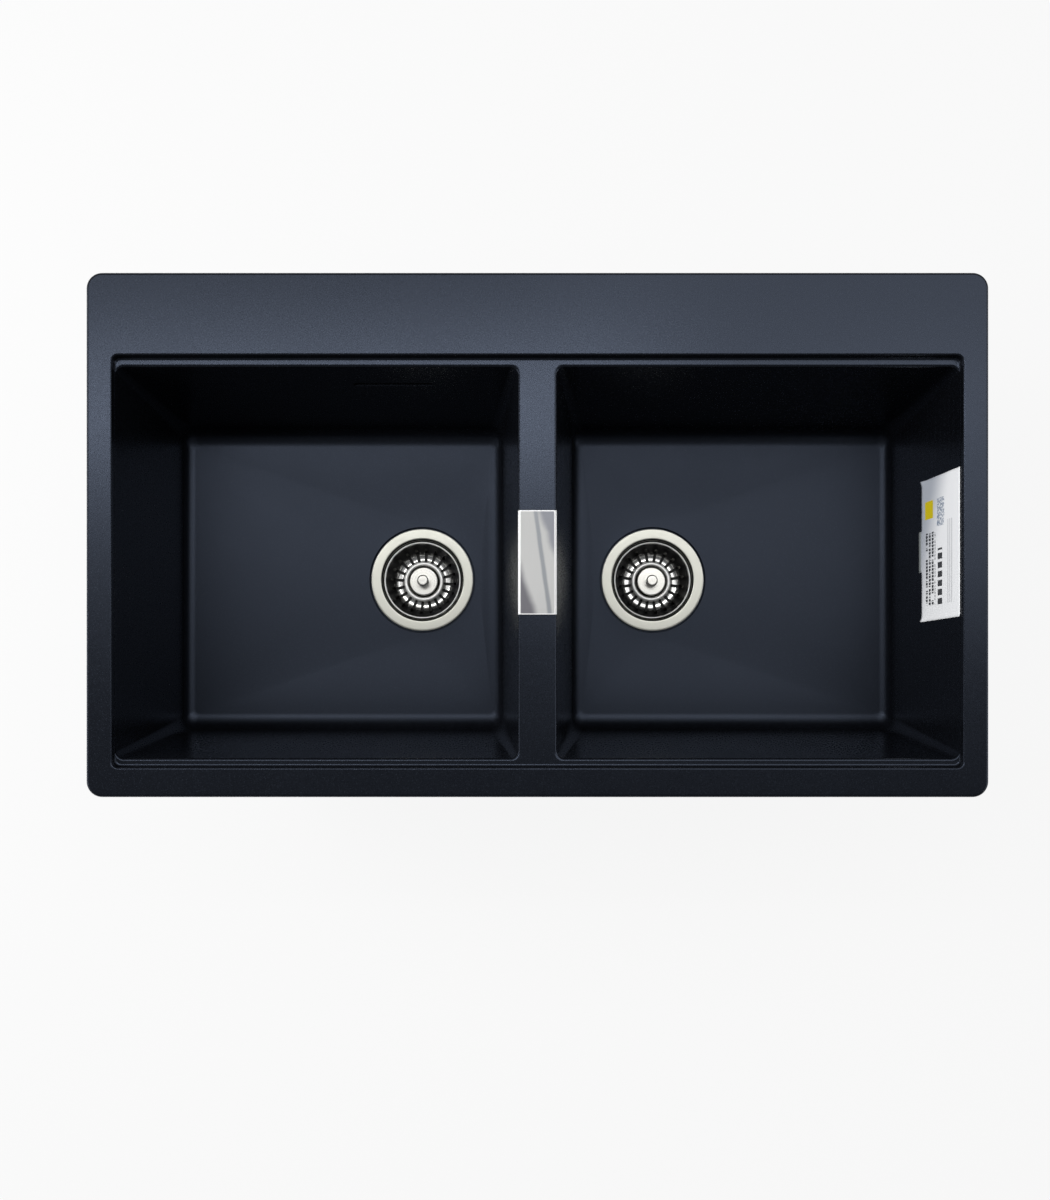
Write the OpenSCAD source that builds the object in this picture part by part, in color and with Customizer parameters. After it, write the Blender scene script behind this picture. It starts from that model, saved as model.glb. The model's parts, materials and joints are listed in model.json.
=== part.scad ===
// Inset granite sink with two bowls, seen from the front: X to the right, Y to the back, Z up.
// The origin is the centre of the rim's outline, on the plane of the worktop that the rim lies on.

/* [Rim] */
// Width of the rim, left to right
rim_w = 860; // [820:5:1000]
// Depth of the rim, front to back
rim_d = 500; // [490:5:560]
// Height of the rim above the worktop
rim_h = 10; // [9:0.5:14]
// Radius of the rim's outer corners, seen from above
rim_corner_r = 15; // [8:1:40]
// Radius along the rim's outer top edge
rim_edge_r = 3; // [1:0.5:5]
// Small radius along the rim's bottom edge
rim_foot_r = 1; // [0.5:0.25:2]

/* [Recess] */
// Width of the rim beside the recess, left and right
side_rim = 24.4; // [23:0.2:40]
// Depth of the flat ledge for the tap, behind the recess
tap_ledge = 79; // [74:1:110]
// Depth of the rim in front of the recess
front_rim = 28.4; // [26:0.2:45]
// How far the recess steps down below the rim
recess_depth = 10; // [6:0.5:13]
// Radius of the recess's corners, seen from above
recess_corner_r = 6; // [5:0.5:20]
// Radius along the recess's top edge
recess_edge_r = 2; // [0.5:0.25:3]
// Radius of the fillet round the recess's floor
recess_fillet_r = 3; // [1:0.25:4]

/* [Bowls] */
// Thickness of the divider, wall to wall, just under its top
divider_w = 36.8; // [30:0.2:80]
// Ledge between the recess's back wall and the bowls
back_ledge = 8.6; // [7:0.2:20]
// Ledge between the recess's front wall and the bowls
front_ledge = 8.2; // [7:0.2:20]
// Step between the recess's side wall and the bowl wall below it
side_step = 0.5; // [0.3:0.1:3]
// Depth of the bowls below the ledges
bowl_depth = 191.5; // [150:0.5:230]
// Slope of the front and back walls, from upright, in degrees
bowl_draft = 8; // [2:0.1:8.5]
// Slope of the side walls, from upright, in degrees
side_draft = 6.3; // [2:0.1:8.5]
// Radius of the bowl corners at the top, seen from above
bowl_top_corner_r = 8; // [5:0.5:30]
// Radius of the bowl corners at the foot of the walls
bowl_base_corner_r = 14; // [10:0.5:40]
// Radius of the bowl corners on the floor, inside the fillet
bowl_floor_corner_r = 5; // [3:0.5:20]
// Radius along the bowls' top edges
bowl_edge_r = 2.5; // [1:0.25:4]
// Radius of the fillets between the floor and the front and back walls
floor_fillet_r = 18; // [10:1:24]
// Radius of the fillets between the floor and the side walls
side_fillet_r = 11; // [8:1:18]
// Fall of the floor from its edge to the drain
floor_fall = 1.5; // [1:0.25:6]
// Thickness of the bowl walls
wall_t = 8; // [7:0.5:12]
// Thickness of the floor at the drain
floor_t = 10; // [9:0.5:20]
// Radius along the outside of the bowls' lower edges
outer_fillet_r = 22; // [12:1:30]
// Thickness of the casting under the ledges
tray_t = 10; // [8:0.5:20]

/* [Underside] */
// How far the rim lies over the worktop, round its cut-out
rim_lap = 10; // [9:0.25:12]
// Gap between the cut-out and the skirt, at the sides
skirt_side_gap = 3.5; // [2:0.1:5]
// Gap between the cut-out and the skirt, at the front and back
skirt_end_gap = 8; // [7:0.25:9]
// Thickness of the skirt under the tap ledge
skirt_t = 13; // [12:0.5:20]
// How far the skirt hangs below the rim
skirt_h = 30; // [27:0.5:32]
// Radius of the skirt's outer corners
skirt_corner_r = 14; // [8:1:40]
// Thickness of the ribs under the tap ledge, halfway between the tap holes
rib_t = 8; // [4:0.5:14]
// How far the ribs hang below the tap ledge
rib_h = 20; // [10:1:28]
// Radius of the tap hole knock-outs
tap_hole_r = 17.5; // [14:0.25:18]
// Distance of the tap holes' centres from the rim's back edge
tap_hole_inset = 50; // [50:0.5:53]
// Spacing of the tap hole knock-outs, from the middle to the right
tap_hole_pitch = 105; // [70:1:110]
// Depth of the knock-outs' blind bores
tap_hole_depth = 8; // [4:0.5:10]
// Thickness of the stone left above a knock-out
tap_hole_skin = 6; // [5:0.5:8]
// Width of the ring of stone round a knock-out
tap_boss_t = 7; // [4:0.5:8]

/* [Rim seal] */
// Width of the foam tape in the rim's underside
seal_w = 6; // [4:0.5:7]
// Thickness of the foam tape, pressed flat
seal_t = 1.5; // [1:0.25:3]
// Gap between the cut-out's edge and the tape's channel
seal_inset = 0.5; // [0.25:0.25:1]

/* [Divider plate and label] */
// Length of the steel plate over the divider
plate_l = 100; // [60:1:160]
// Thickness of the plate's steel
plate_t = 0.8; // [0.5:0.1:1.5]
// Gap between the plate's bent edges and the stone
plate_gap = 0.6; // [0.4:0.1:1]
// Angle that the plate's edges are bent through
plate_bend = 50; // [30:1:60]
// Place of the plate's centre along the divider, from the rim's centre
plate_y = -25.5; // [-60:0.5:60]
// Margin of the plate round the adhesive pad under it
tape_margin = 3; // [1:0.5:8]
// Thickness of the adhesive pad under the plate
tape_t = 0.8; // [0.4:0.1:1.5]
// Length of the paper label along the bowl's wall
label_l = 145; // [60:1:200]
// Height of the paper label, down the wall
label_h = 93; // [40:1:120]
// Thickness of the paper label
label_t = 0.4; // [0.2:0.1:1]
// Distance from the ledge down to the label
label_drop = 1; // [0.5:0.5:40]
// Place of the label's centre, front to back
label_y = -6.5; // [-60:0.5:40]
// Length of the label's tab
tab_l = 47; // [10:1:58]
// Width of the label's tab
tab_w = 4; // [2:0.5:10]

/* [Strainer] */
// Distance of each drain's axis from its bowl's wall at the divider
drain_inset = 108; // [104:0.5:150]
// Place of the drains' axes, front to back
drain_y = -25; // [-80:1:30]
// Radius of the flat floor round a drain
drain_flat_r = 62; // [59:0.5:66]
// Outer radius of the steel flange
flange_r = 56; // [53:0.5:57]
// Thickness of the steel of flange and cup
cup_t = 1; // [0.6:0.1:1.5]
// Inner radius of the flange's flat ring
flange_flat_r = 46.5; // [46:0.25:48]
// Inner radius of the cup, below the flange
cup_r = 43.2; // [43:0.1:43.6]
// Taper of the cup's wall over its depth
cup_taper = 1.2; // [0.5:0.1:2]
// Depth of the cup below the flange
cup_depth = 42; // [42:0.5:46]
// Inner radius of the cup's outlet
outlet_r = 27; // [24:0.5:29]
// Radius of the steel hub in the cup's outlet
hub_r = 11; // [10:0.25:13]
// Width of the arms that carry the hub
arm_w = 8; // [5:0.5:10]
// Number of arms that carry the hub
arm_n = 4; // [3:1:6]
// Gap round the flange in its seat
seat_gap = 1.5; // [0.5:0.25:2]
// Depth of the seat for the flange
seat_depth = 3; // [2.5:0.25:4]
// Radius of the hole through the floor
drain_hole_r = 45.5; // [45.2:0.1:46.5]
// Thickness of the rubber ring under the body of the waste
body_seal_t = 2; // [1:0.25:4]

/* [Basket] */
// Outer radius of the basket's rolled rim
basket_rim_r = 42.2; // [41.6:0.1:42.6]
// Radius of the roll on the basket's rim
basket_roll_r = 0.9; // [0.6:0.05:1.2]
// Distance from the flange's top down to the basket's rim
basket_drop = 3; // [2:0.25:4]
// Depth of the basket's floor below its rim
basket_depth = 25; // [22:0.5:26]
// Thickness of the basket's steel
basket_t = 0.8; // [0.5:0.05:1]
// Radius of the ring at the foot of the basket's wall
basket_floor_r = 28.5; // [27:0.25:30]
// Radius of the raised ring round the knob
basket_ring_r = 19.7; // [19.4:0.1:20.5]
// Height of the raised ring above the basket's floor
basket_ring_h = 7.7; // [5:0.1:8.5]
// Height of the basket's middle above its floor
basket_middle_h = 3.5; // [2:0.1:4]
// Number of slots
slot_n = 20; // [12:1:24]
// Width of a slot
slot_w = 3.3; // [1.6:0.1:3.4]
// Inner end of the slots
slot_inner_r = 22; // [21.5:0.1:24]
// Outer end of the slots, on the basket's wall
slot_outer_r = 36.4; // [31:0.1:38]
// Radius of the disc under the knob
knob_disc_r = 15.6; // [12:0.1:16]
// Thickness of the disc under the knob
knob_disc_t = 3; // [2:0.1:4]
// Radius of the knob's foot on the basket
knob_foot_r = 12; // [8:0.1:13]
// Height of the knob's foot, from basket to disc
knob_foot_h = 4; // [3:0.1:5]
// Radius of the knob's neck
knob_neck_r = 4.2; // [4.2:0.1:5.2]
// Radius of the knob's head
knob_head_r = 6.3; // [5.6:0.1:8]
// Height of the knob's neck
knob_neck_h = 7.5; // [5:0.1:9]
// Height of the knob's head
knob_head_h = 5.5; // [4:0.1:6]
// Radius of the basket's stem
stem_r = 4; // [3.5:0.05:4.1]
// Radial gap between the stem and its guide in the screw's head
stem_gap = 0.5; // [0.5:0.05:0.7]
// Thickness of the stopper's disc
stopper_t = 2.6; // [2:0.1:3]
// Radius of the stopper's lip where it meets the cup
stopper_lip_r = 36.5; // [33:0.1:38]
// Thickness of the stopper's lip
stopper_lip_t = 2.4; // [1.8:0.1:3]
// Radius of the stopper's raised middle
stopper_hub_r = 13; // [9:0.1:13.6]
// Height of the nut under the stopper
stem_nut_h = 2.4; // [2:0.1:2.6]
// Radius of the nut under the stopper, across its corners
stem_nut_r = 8; // [7:0.1:9]
// Radius of the spring ring's wire
ring_wire_r = 0.6; // [0.4:0.05:0.7]
// How far the spring ring stands out of the stem
ring_proud = 0.2; // [0.15:0.01:0.22]

/* [Waste body] */
// Inner radius of the waste body's bowl
waste_r = 48; // [47:0.25:50]
// Thickness of the waste body's wall
waste_t = 3; // [2:0.1:3.5]
// Outer radius of the waste body's top flange
waste_flange_r = 58; // [56:0.5:62]
// Thickness of the waste body's top flange
waste_flange_t = 4; // [3:0.25:6]
// Height of the cone between the bowl and the outlet
waste_cone_h = 20; // [14:0.5:30]
// Height of the straight collar at the cone's top, which is welded to the body
weld_h = 3; // [2:0.5:8]
// Outer radius of the outlet's thread
tail_r = 23.9; // [20:0.1:25]
// Length of the outlet's thread
tail_l = 26; // [18:0.5:40]
// Thickness of the outlet's wall
tail_t = 3; // [2:0.1:4]
// Radius of the moulded hub for the clamp screw
screw_hub_r = 9.5; // [8:0.1:10.5]
// Height of the moulded hub for the clamp screw
screw_hub_h = 17; // [15:0.5:20]
// Height of the bars that carry the moulded hub
hub_bar_h = 7; // [4:0.5:10]
// Width of the bars that carry the moulded hub
hub_bar_w = 5; // [3:0.5:7]
// Radius of the brass insert
insert_r = 5; // [4.5:0.1:6]
// Length of the brass insert
insert_l = 12; // [9:0.5:13]
// Radius of the clamp screw's shank
screw_r = 3; // [2.5:0.05:3.2]
// Radius of the clamp screw's head
screw_head_r = 7.5; // [6.5:0.1:8.5]
// Height of the clamp screw's head
screw_head_h = 6.4; // [6:0.1:6.5]
// Depth of the guide in the clamp screw's head
guide_depth = 5.4; // [4.5:0.1:5.5]
// Radius of the clamp screw's hexagon socket, across its corners
hex_r = 2.6; // [2:0.1:2.8]
// Length of the clamp screw's shank
screw_l = 15; // [12:0.5:17]

/* [Overflow] */
// Distance of the overflow slot's centre from the left drain's axis, to the left
overflow_shift = 16.6; // [-25:0.2:25]
// Depth of the overflow slot's centre below the ledge
overflow_drop = 46; // [44:1:60]
// Width of the overflow slot
overflow_w = 80; // [50:1:84]
// Height of the overflow slot
overflow_h = 8; // [5:0.25:10]
// Height of the cast pad behind the slot
pad_h = 32; // [30:0.5:34]
// How far the pad stands out behind the bowl's edge
pad_out = 10; // [9:0.2:14]
// Width of the pad beyond the housing, at each end
pad_margin = 4; // [1:0.5:10]
// Thickness of the overflow's gasket
gasket_t = 2; // [1:0.25:3]
// Wall of the overflow's housing
housing_t = 2; // [1.5:0.1:3]
// Gap between the slot's end and the housing's inner wall
housing_margin = 4; // [2:0.5:8]
// Depth of the housing, front to back
housing_d = 19; // [19:0.25:24]
// Height of the housing
housing_h = 22; // [18:0.5:24]
// Length of the housing's screw ears
ear_l = 12; // [11:0.5:16]
// Thickness of the housing's screw ears
ear_t = 4; // [2.5:0.25:6]
// Radius of the overflow's screws
housing_screw_r = 2; // [1.5:0.1:2.4]
// Length of the overflow's screws in the stone
housing_screw_l = 9; // [5:0.5:11]

/* [Overflow hose] */
// Outer radius of the hose spigots
spigot_r = 7.6; // [6.5:0.1:7.7]
// Wall of the hose spigots
spigot_t = 1.6; // [1.2:0.1:2]
// Length of the hose spigots
spigot_l = 30; // [26:0.5:34]
// Length of spigot inside the hose
hose_overlap = 18; // [12:0.5:20]
// Radius of the hose's bore, across its flats
hose_bore_r = 7.9; // [7.8:0.05:8.2]
// Radius of the hose in the grooves between its ribs, across its corners
hose_root_r = 9.9; // [9.7:0.1:10.2]
// Radius of the hose on its ribs, across its corners
hose_rib_r = 11.5; // [11:0.1:12]
// Distance from rib to rib
hose_pitch = 4.2; // [3.6:0.1:6]
// Length of the hose's plain ends
cuff_l = 23; // [23:0.5:28]
// Radius of the hose's bend
hose_bend_r = 46; // [44:1:52]
// Depth of the hose's lower run below the body of the waste's flange
hose_drop = 15; // [14:0.5:18]
// Length of a hose clamp
clamp_l = 9; // [6:0.5:12]
// Thickness of a hose clamp's band
clamp_t = 1; // [0.6:0.1:2]

/* [Fixing clips] */
// Spacing of the clips along the front and back
clip_pitch = 220; // [180:5:230]
// Width of a clip's bracket
clip_w = 22; // [16:0.5:30]
// Thickness of a clip's steel
clip_t = 1.5; // [1:0.1:2]
// Gap between the bracket and its neighbours
clip_gap = 0.3; // [0.25:0.05:0.4]
// Thickness of the worktop that the clips are set for
worktop_t = 40; // [39:0.5:44]
// How far a bracket can be raised, for a thinner worktop
clip_up = 10; // [6:0.5:10]
// How far a bracket can be lowered, for a thicker worktop
clip_down = 3.5; // [2:0.25:4]
// Reach of the bracket's claw from the skirt
claw_l = 15; // [12:0.5:17]
// Height of the teeth on the claw
tooth_h = 1.2; // [0.6:0.1:2]
// Spacing of the teeth on the claw
tooth_pitch = 2.4; // [1.6:0.1:3]
// Number of teeth on the claw
tooth_n = 4; // [2:1:4]
// Depth of the clip screws below the worktop's top face
clip_screw_drop = 20; // [19.5:0.25:20.5]
// Radius of the clip screws
clip_screw_r = 2.4; // [2:0.1:2.6]
// Radial gap between a clip screw and its slot
slot_gap = 0.4; // [0.2:0.05:0.6]
// Steel left above the slot
slot_margin = 2.8; // [2:0.1:3]
// Radius of a clip screw's head
clip_head_r = 5; // [4:0.1:6]
// Height of a clip screw's head
clip_head_h = 2.6; // [2:0.1:3]
// Radius of a clip washer
washer_r = 7.5; // [6:0.1:9]
// Thickness of a clip washer
washer_t = 1; // [0.6:0.1:1.4]
// Radius of a clip dowel
dowel_r = 4.2; // [3.6:0.1:5]
// Length of a clip dowel
dowel_l = 10; // [8:0.5:10.5]

/* [Hidden] */
$fn = 48;
// Shared small sizes: steps in a quarter round, overlap of joined solids, gap at a seat
corner_n = 7;
edge_n = 4;
fillet_n = 6;
lap = 1;
seat_play = 0.3;
fit = 0.05;

// Rim and recess
rim_x = rim_w / 2;
rim_y = rim_d / 2;
seal_x = rim_x - rim_lap + seal_inset;
seal_y = rim_y - rim_lap + seal_inset;
seal_corner_r = rim_corner_r - rim_lap + seal_inset + seal_w;
ledge_z = rim_h - recess_depth;
recess_x = rim_x - side_rim;
recess_y0 = front_rim - rim_y;
recess_y1 = rim_y - tap_ledge;

// Bowls, as the right one lies
bowl_x0 = divider_w / 2;
bowl_x1 = recess_x - side_step;
bowl_y0 = recess_y0 + front_ledge;
bowl_y1 = recess_y1 - back_ledge;
floor_z = ledge_z - bowl_depth;
drain_z = floor_z - floor_fall;
base_z = drain_z - floor_t;
draft = tan(bowl_draft);
side_slope = tan(side_draft);
drain_x = bowl_x0 + drain_inset;

// Skirt, ribs and knock-outs
skirt_x = rim_x - rim_lap - skirt_side_gap;
skirt_y = rim_y - rim_lap - skirt_end_gap;
tap_y = rim_y - tap_hole_inset;
knock_z = rim_h - tap_hole_skin - tap_hole_depth;
tap_holes = [0, 1, 2];
ribs = [-2.5, -1.5, -0.5, 0.5, 1.5, 2.5];

// Divider plate
plate_bend_r = bowl_edge_r + plate_gap;
plate_flat = bowl_x0 - bowl_edge_r - plate_gap / 2;

// Cup, basket and stopper, as heights from the flange's top
cup_floor = -cup_depth;
basket_top = -basket_drop;
basket_floor = basket_top - basket_depth;
basket_middle = basket_floor + basket_middle_h;
disc_z = basket_middle + knob_foot_h;
neck_z = disc_z + knob_disc_t;
head_z = neck_z + knob_neck_h;
stopper_top = basket_floor - basket_t - seat_play;
nut_top = stopper_top - stopper_t;
guide_r = stem_r + stem_gap;
screw_head_top = cup_floor + screw_head_h;
stem_foot = screw_head_top - guide_depth + seat_play;
stem_head_z = neck_z - 1.8;
ring_z = stem_foot + 2.6;
ring_r = stem_r + ring_proud - ring_wire_r;

// Waste body, as heights from the flange's top
body_top = base_z - drain_z - body_seal_t;
hub_top = cup_floor - cup_t;
bar_foot = hub_top - hub_bar_h - 1;
tail_top = bar_foot - waste_cone_h;
tail_foot = tail_top - tail_l;

// Overflow and its hose
overflow_x = drain_x + overflow_shift;
slot_z = ledge_z - overflow_drop;
pad_y = bowl_y1 + pad_out;
housing_y = pad_y + gasket_t;
housing_w = overflow_w + 2 * housing_margin + 2 * housing_t;
housing_screw_x = housing_w / 2 + ear_l / 2;
pad_w = housing_w + 2 * ear_l + 2 * pad_margin;
housing_foot = slot_z - housing_h / 2;
hose_x = -drain_x;
hose_y = housing_y + housing_d / 2;
hose_top = housing_foot - spigot_l + hose_overlap;
hose_low = drain_z + body_top - hose_drop;
hose_end = drain_y + waste_r + waste_t + spigot_l - hose_overlap;
hose_down_l = hose_top - hose_low - hose_bend_r;
hose_bend_l = hose_bend_r * PI / 2;
hose_run_l = hose_y - hose_bend_r - hose_end;
hose_l = hose_down_l + hose_bend_l + hose_run_l;
rib_n = floor((hose_l - 2 * cuff_l) / hose_pitch);
ribbed_l = rib_n * hose_pitch;
bore_corner_r = hose_bore_r / cos(22.5);
bend_n = 14;

// Clips
clip_slot_r = clip_screw_r + slot_gap;
clip_back = clip_gap;
clip_face = clip_gap + clip_t;
washer_z = clip_face + clip_gap;
clip_foot = -worktop_t - tooth_h - clip_t;
clip_slot_top = -clip_screw_drop + clip_down;
clip_slot_foot = -clip_screw_drop - clip_up;
clip_top = clip_slot_top + clip_slot_r + slot_margin;
clips = [-1.5, -0.5, 0.5, 1.5];

// A quarter round of an outline, and a rectangle with round corners, anticlockwise from above
function quarter(cx, cy, r, a0) = [
    for (i = [0:corner_n])
        [cx + r * cos(a0 + 90 * i / corner_n), cy + r * sin(a0 + 90 * i / corner_n)]
];
function outline(x0, x1, y0, y1, r) = concat(
    quarter(x1 - r, y1 - r, r, 0),
    quarter(x0 + r, y1 - r, r, 90),
    quarter(x0 + r, y0 + r, r, 180),
    quarter(x1 - r, y0 + r, r, 270)
);

// A solid through a stack of such outlines, each [x0, x1, y0, y1, corner radius, height], lowest first
module loft(rings) {
    m = 4 * (corner_n + 1);
    last = len(rings) - 1;
    points = [
        for (ring = rings)
            for (p = outline(ring[0], ring[1], ring[2], ring[3], ring[4]))
                [p[0], p[1], ring[5]]
    ];
    sides = [
        for (k = [0:last - 1])
            for (i = [0:m - 1])
                let (a = k * m + i, b = k * m + (i + 1) % m)
                    each [[a, a + m, b + m], [a, b + m, b]]
    ];
    foot = [for (i = [0:m - 1]) i];
    top = [for (i = [m - 1:-1:0]) last * m + i];
    polyhedron(points = points, faces = concat([foot], sides, [top]), convexity = 4);
}

// A flat slab with round corners
module slab(x, y0, y1, r, z0, z1) {
    loft([[-x, x, y0, y1, r, z0], [-x, x, y0, y1, r, z1]]);
}

// How far a sloping wall, or the fillet at its foot, lies inside the bowl's top outline
function wall_inset(z, foot_z, slope, fillet_r) =
    let (touch_z = foot_z + fillet_r * (1 - sin(slope)))
    z >= touch_z
        ? (ledge_z - z) * tan(slope)
        : (ledge_z - touch_z) * tan(slope) + fillet_r * cos(slope)
            - sqrt(pow(fillet_r, 2) - pow(foot_z + fillet_r - z, 2));

// The outlines of a drafted bowl, from its floor's edge up to the foot of the walls
function bowl_rings(grow, foot_z, side_r, end_r, floor_r, base_r) =
    let (r = max(side_r, end_r), slope = min(side_draft, bowl_draft))
    [
        for (i = [0:fillet_n])
            let (
                a = 90 - (90 - slope) * i / fillet_n,
                z = foot_z + r * (1 - sin(a)),
                x = wall_inset(z, foot_z, side_draft, side_r) - grow,
                y = wall_inset(z, foot_z, bowl_draft, end_r) - grow
            )
            [
                bowl_x0 + x, bowl_x1 - x, bowl_y0 + y, bowl_y1 - y,
                floor_r + cos(a) / cos(slope) * (base_r - floor_r), z
            ]
    ];

// The hollow of the right bowl: floor, fillet, walls, and a round edge on all sides but the outer one
module bowl_hollow() {
    floor_ring = [
        drain_x - drain_flat_r, drain_x + drain_flat_r,
        drain_y - drain_flat_r, drain_y + drain_flat_r, drain_flat_r - 0.1, drain_z
    ];
    edge = [
        for (i = [0:edge_n])
            let (
                a = 90 * i / edge_n,
                z = ledge_z - bowl_edge_r * (1 - sin(a)),
                inset = (ledge_z - z) * side_slope,
                side_out = bowl_edge_r * (1 - cos(a)) - inset,
                out = bowl_edge_r * (1 - cos(a)) - (ledge_z - z) * draft
            )
            [bowl_x0 - side_out, bowl_x1 - inset, bowl_y0 - out, bowl_y1 + out, bowl_top_corner_r, z]
    ];
    brim = [
        bowl_x0 - bowl_edge_r, bowl_x1, bowl_y0 - bowl_edge_r, bowl_y1 + bowl_edge_r,
        bowl_top_corner_r, ledge_z + recess_fillet_r + lap
    ];
    walls = bowl_rings(
        0, floor_z, side_fillet_r, floor_fillet_r, bowl_floor_corner_r, bowl_base_corner_r
    );
    loft(concat([floor_ring], walls, edge, [brim]));
}

// The outside of the right bowl
module bowl_shell() {
    r = bowl_base_corner_r + wall_t;
    walls = bowl_rings(wall_t, base_z, outer_fillet_r, outer_fillet_r, r - outer_fillet_r / 2, r);
    head = [
        bowl_x0 - wall_t, bowl_x1 + wall_t, bowl_y0 - wall_t, bowl_y1 + wall_t,
        bowl_top_corner_r + wall_t, ledge_z - lap
    ];
    loft(concat(walls, [head]));
}

module rim_slab() {
    foot = [
        -rim_x + rim_foot_r, rim_x - rim_foot_r, -rim_y + rim_foot_r, rim_y - rim_foot_r,
        rim_corner_r - rim_foot_r, 0
    ];
    edge = [
        for (i = [0:edge_n])
            let (
                a = 90 * i / edge_n,
                inset = rim_edge_r * (1 - cos(a)),
                x = rim_x - inset,
                y = rim_y - inset
            )
            [-x, x, -y, y, rim_corner_r - inset, rim_h - rim_edge_r * (1 - sin(a))]
    ];
    loft(concat([foot, [-rim_x, rim_x, -rim_y, rim_y, rim_corner_r, rim_foot_r]], edge));
}

// The step inside the rim, with a fillet round its floor and a round top edge
module recess_hollow() {
    fillet = [
        for (i = [0:edge_n])
            let (
                a = 90 * i / edge_n,
                inset = recess_fillet_r * (1 - sin(a)),
                x = recess_x - inset
            )
            [
                -x, x, recess_y0 + inset, recess_y1 - inset,
                recess_corner_r - inset, ledge_z + recess_fillet_r * (1 - cos(a))
            ]
    ];
    edge = [
        for (i = [0:edge_n])
            let (
                a = 90 * i / edge_n,
                out = recess_edge_r * (1 - cos(a)),
                x = recess_x + out
            )
            [
                -x, x, recess_y0 - out, recess_y1 + out,
                recess_corner_r + out, rim_h - recess_edge_r * (1 - sin(a))
            ]
    ];
    out = recess_edge_r;
    x = recess_x + out;
    mouth = [-x, x, recess_y0 - out, recess_y1 + out, recess_corner_r + out, rim_h + lap];
    loft(concat(fillet, edge, [mouth]));
}

// The skirt: merged with the bowls' walls in front and at the sides, and free behind the bowls
module skirt() {
    difference() {
        slab(skirt_x, -skirt_y, skirt_y, skirt_corner_r, -skirt_h, lap);
        slab(
            bowl_x1 + wall_t / 4, bowl_y0 - wall_t / 4, skirt_y - skirt_t,
            bowl_top_corner_r, -skirt_h - lap, 2 * lap
        );
    }
}

module both_sides() {
    children();
    mirror([1, 0, 0]) children();
}

// Places its children at the left (-1) or right (1) drain, with zero height at the flange's top
module at_drain(side) {
    translate([side * drain_x, drain_y, drain_z]) children();
}

// Places its children at a clip screw, with Z out of the skirt's face
module at_clip_screw(side, place) {
    translate([place * clip_pitch, side * skirt_y, -clip_screw_drop])
        rotate([-90 * side, 0, 0]) children();
}

module at_clip_screws() {
    for (side = [-1, 1])
        for (place = clips)
            at_clip_screw(side, place) children();
}

// A block or prism with round ends, length along X and depth along Y
module slot_prism(w, h, y0, y1) {
    translate([0, y1, 0])
        rotate([90, 0, 0])
            linear_extrude(y1 - y0)
                union() {
                    square([w - h, h], center = true);
                    translate([(w - h) / 2, 0]) circle(h / 2);
                    translate([(h - w) / 2, 0]) circle(h / 2);
                }
}

// A frame that lies in the rim's underside, narrower than its channel by play on both sides
module seal_frame(play, z0) {
    x1 = seal_x + seal_w - play;
    y1 = seal_y + seal_w - play;
    x0 = seal_x + play;
    y0 = seal_y + play;
    difference() {
        slab(x1, -y1, y1, seal_corner_r - play, z0, seal_t);
        slab(x0, -y0, y0, seal_corner_r - seal_w + play, z0 - lap, seal_t + lap);
    }
}

module overflow_pad() {
    y0 = bowl_y1 - overflow_drop * draft;
    translate([-overflow_x - pad_w / 2, y0, slot_z - pad_h / 2]) cube([pad_w, pad_y - y0, pad_h]);
}

// Places its children at the overflow's two screws, with Z to the back
module at_housing_screws(y) {
    for (side = [-1, 1])
        translate([side * housing_screw_x - overflow_x, y, slot_z]) rotate([-90, 0, 0]) children();
}

module casting() {
    rim_slab();
    slab(
        skirt_x - lap, lap - skirt_y, recess_y1 + wall_t,
        skirt_corner_r - lap, ledge_z - tray_t, max(ledge_z, 0) + lap
    );
    skirt();
    both_sides() bowl_shell();
    overflow_pad();
    for (i = ribs)
        translate([i * tap_hole_pitch - rib_t / 2, bowl_y1 + lap, -rib_h])
            cube([rib_t, skirt_y - bowl_y1 - 2 * lap, rib_h + lap]);
    for (i = tap_holes)
        translate([i * tap_hole_pitch, tap_y, knock_z])
            cylinder(h = lap - knock_z, r = tap_hole_r + tap_boss_t);
}

module sink_body() {
    color([0.16, 0.18, 0.21])
        difference() {
            casting();
            recess_hollow();
            both_sides() bowl_hollow();
            for (side = [-1, 1])
                at_drain(side) {
                    translate([0, 0, -seat_depth])
                        cylinder(h = seat_depth + lap, r = flange_r + seat_gap);
                    translate([0, 0, -floor_t - lap])
                        cylinder(h = floor_t + 2 * lap, r = drain_hole_r);
                }
            translate([-overflow_x, 0, slot_z])
                slot_prism(overflow_w, overflow_h, bowl_y1 - 3 * wall_t, pad_y + lap);
            at_housing_screws(pad_y - housing_screw_l - lap)
                cylinder(h = housing_screw_l + 2 * lap, r = housing_screw_r + fit);
            for (i = tap_holes)
                translate([i * tap_hole_pitch, tap_y, knock_z - lap])
                    cylinder(h = tap_hole_depth + lap, r = tap_hole_r);
            at_clip_screws()
                translate([0, 0, -dowel_l - seat_play]) cylinder(h = dowel_l + lap, r = dowel_r + fit);
            seal_frame(0, -lap);
        }
}

module rim_seal() {
    color([0.12, 0.12, 0.12]) seal_frame(0.1, 0);
}

module plate_tape() {
    w = 2 * (plate_flat - tape_margin);
    l = plate_l - 2 * tape_margin;
    color([0.85, 0.85, 0.82])
        translate([-w / 2, plate_y - l / 2, ledge_z]) cube([w, l, tape_t]);
}

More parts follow.
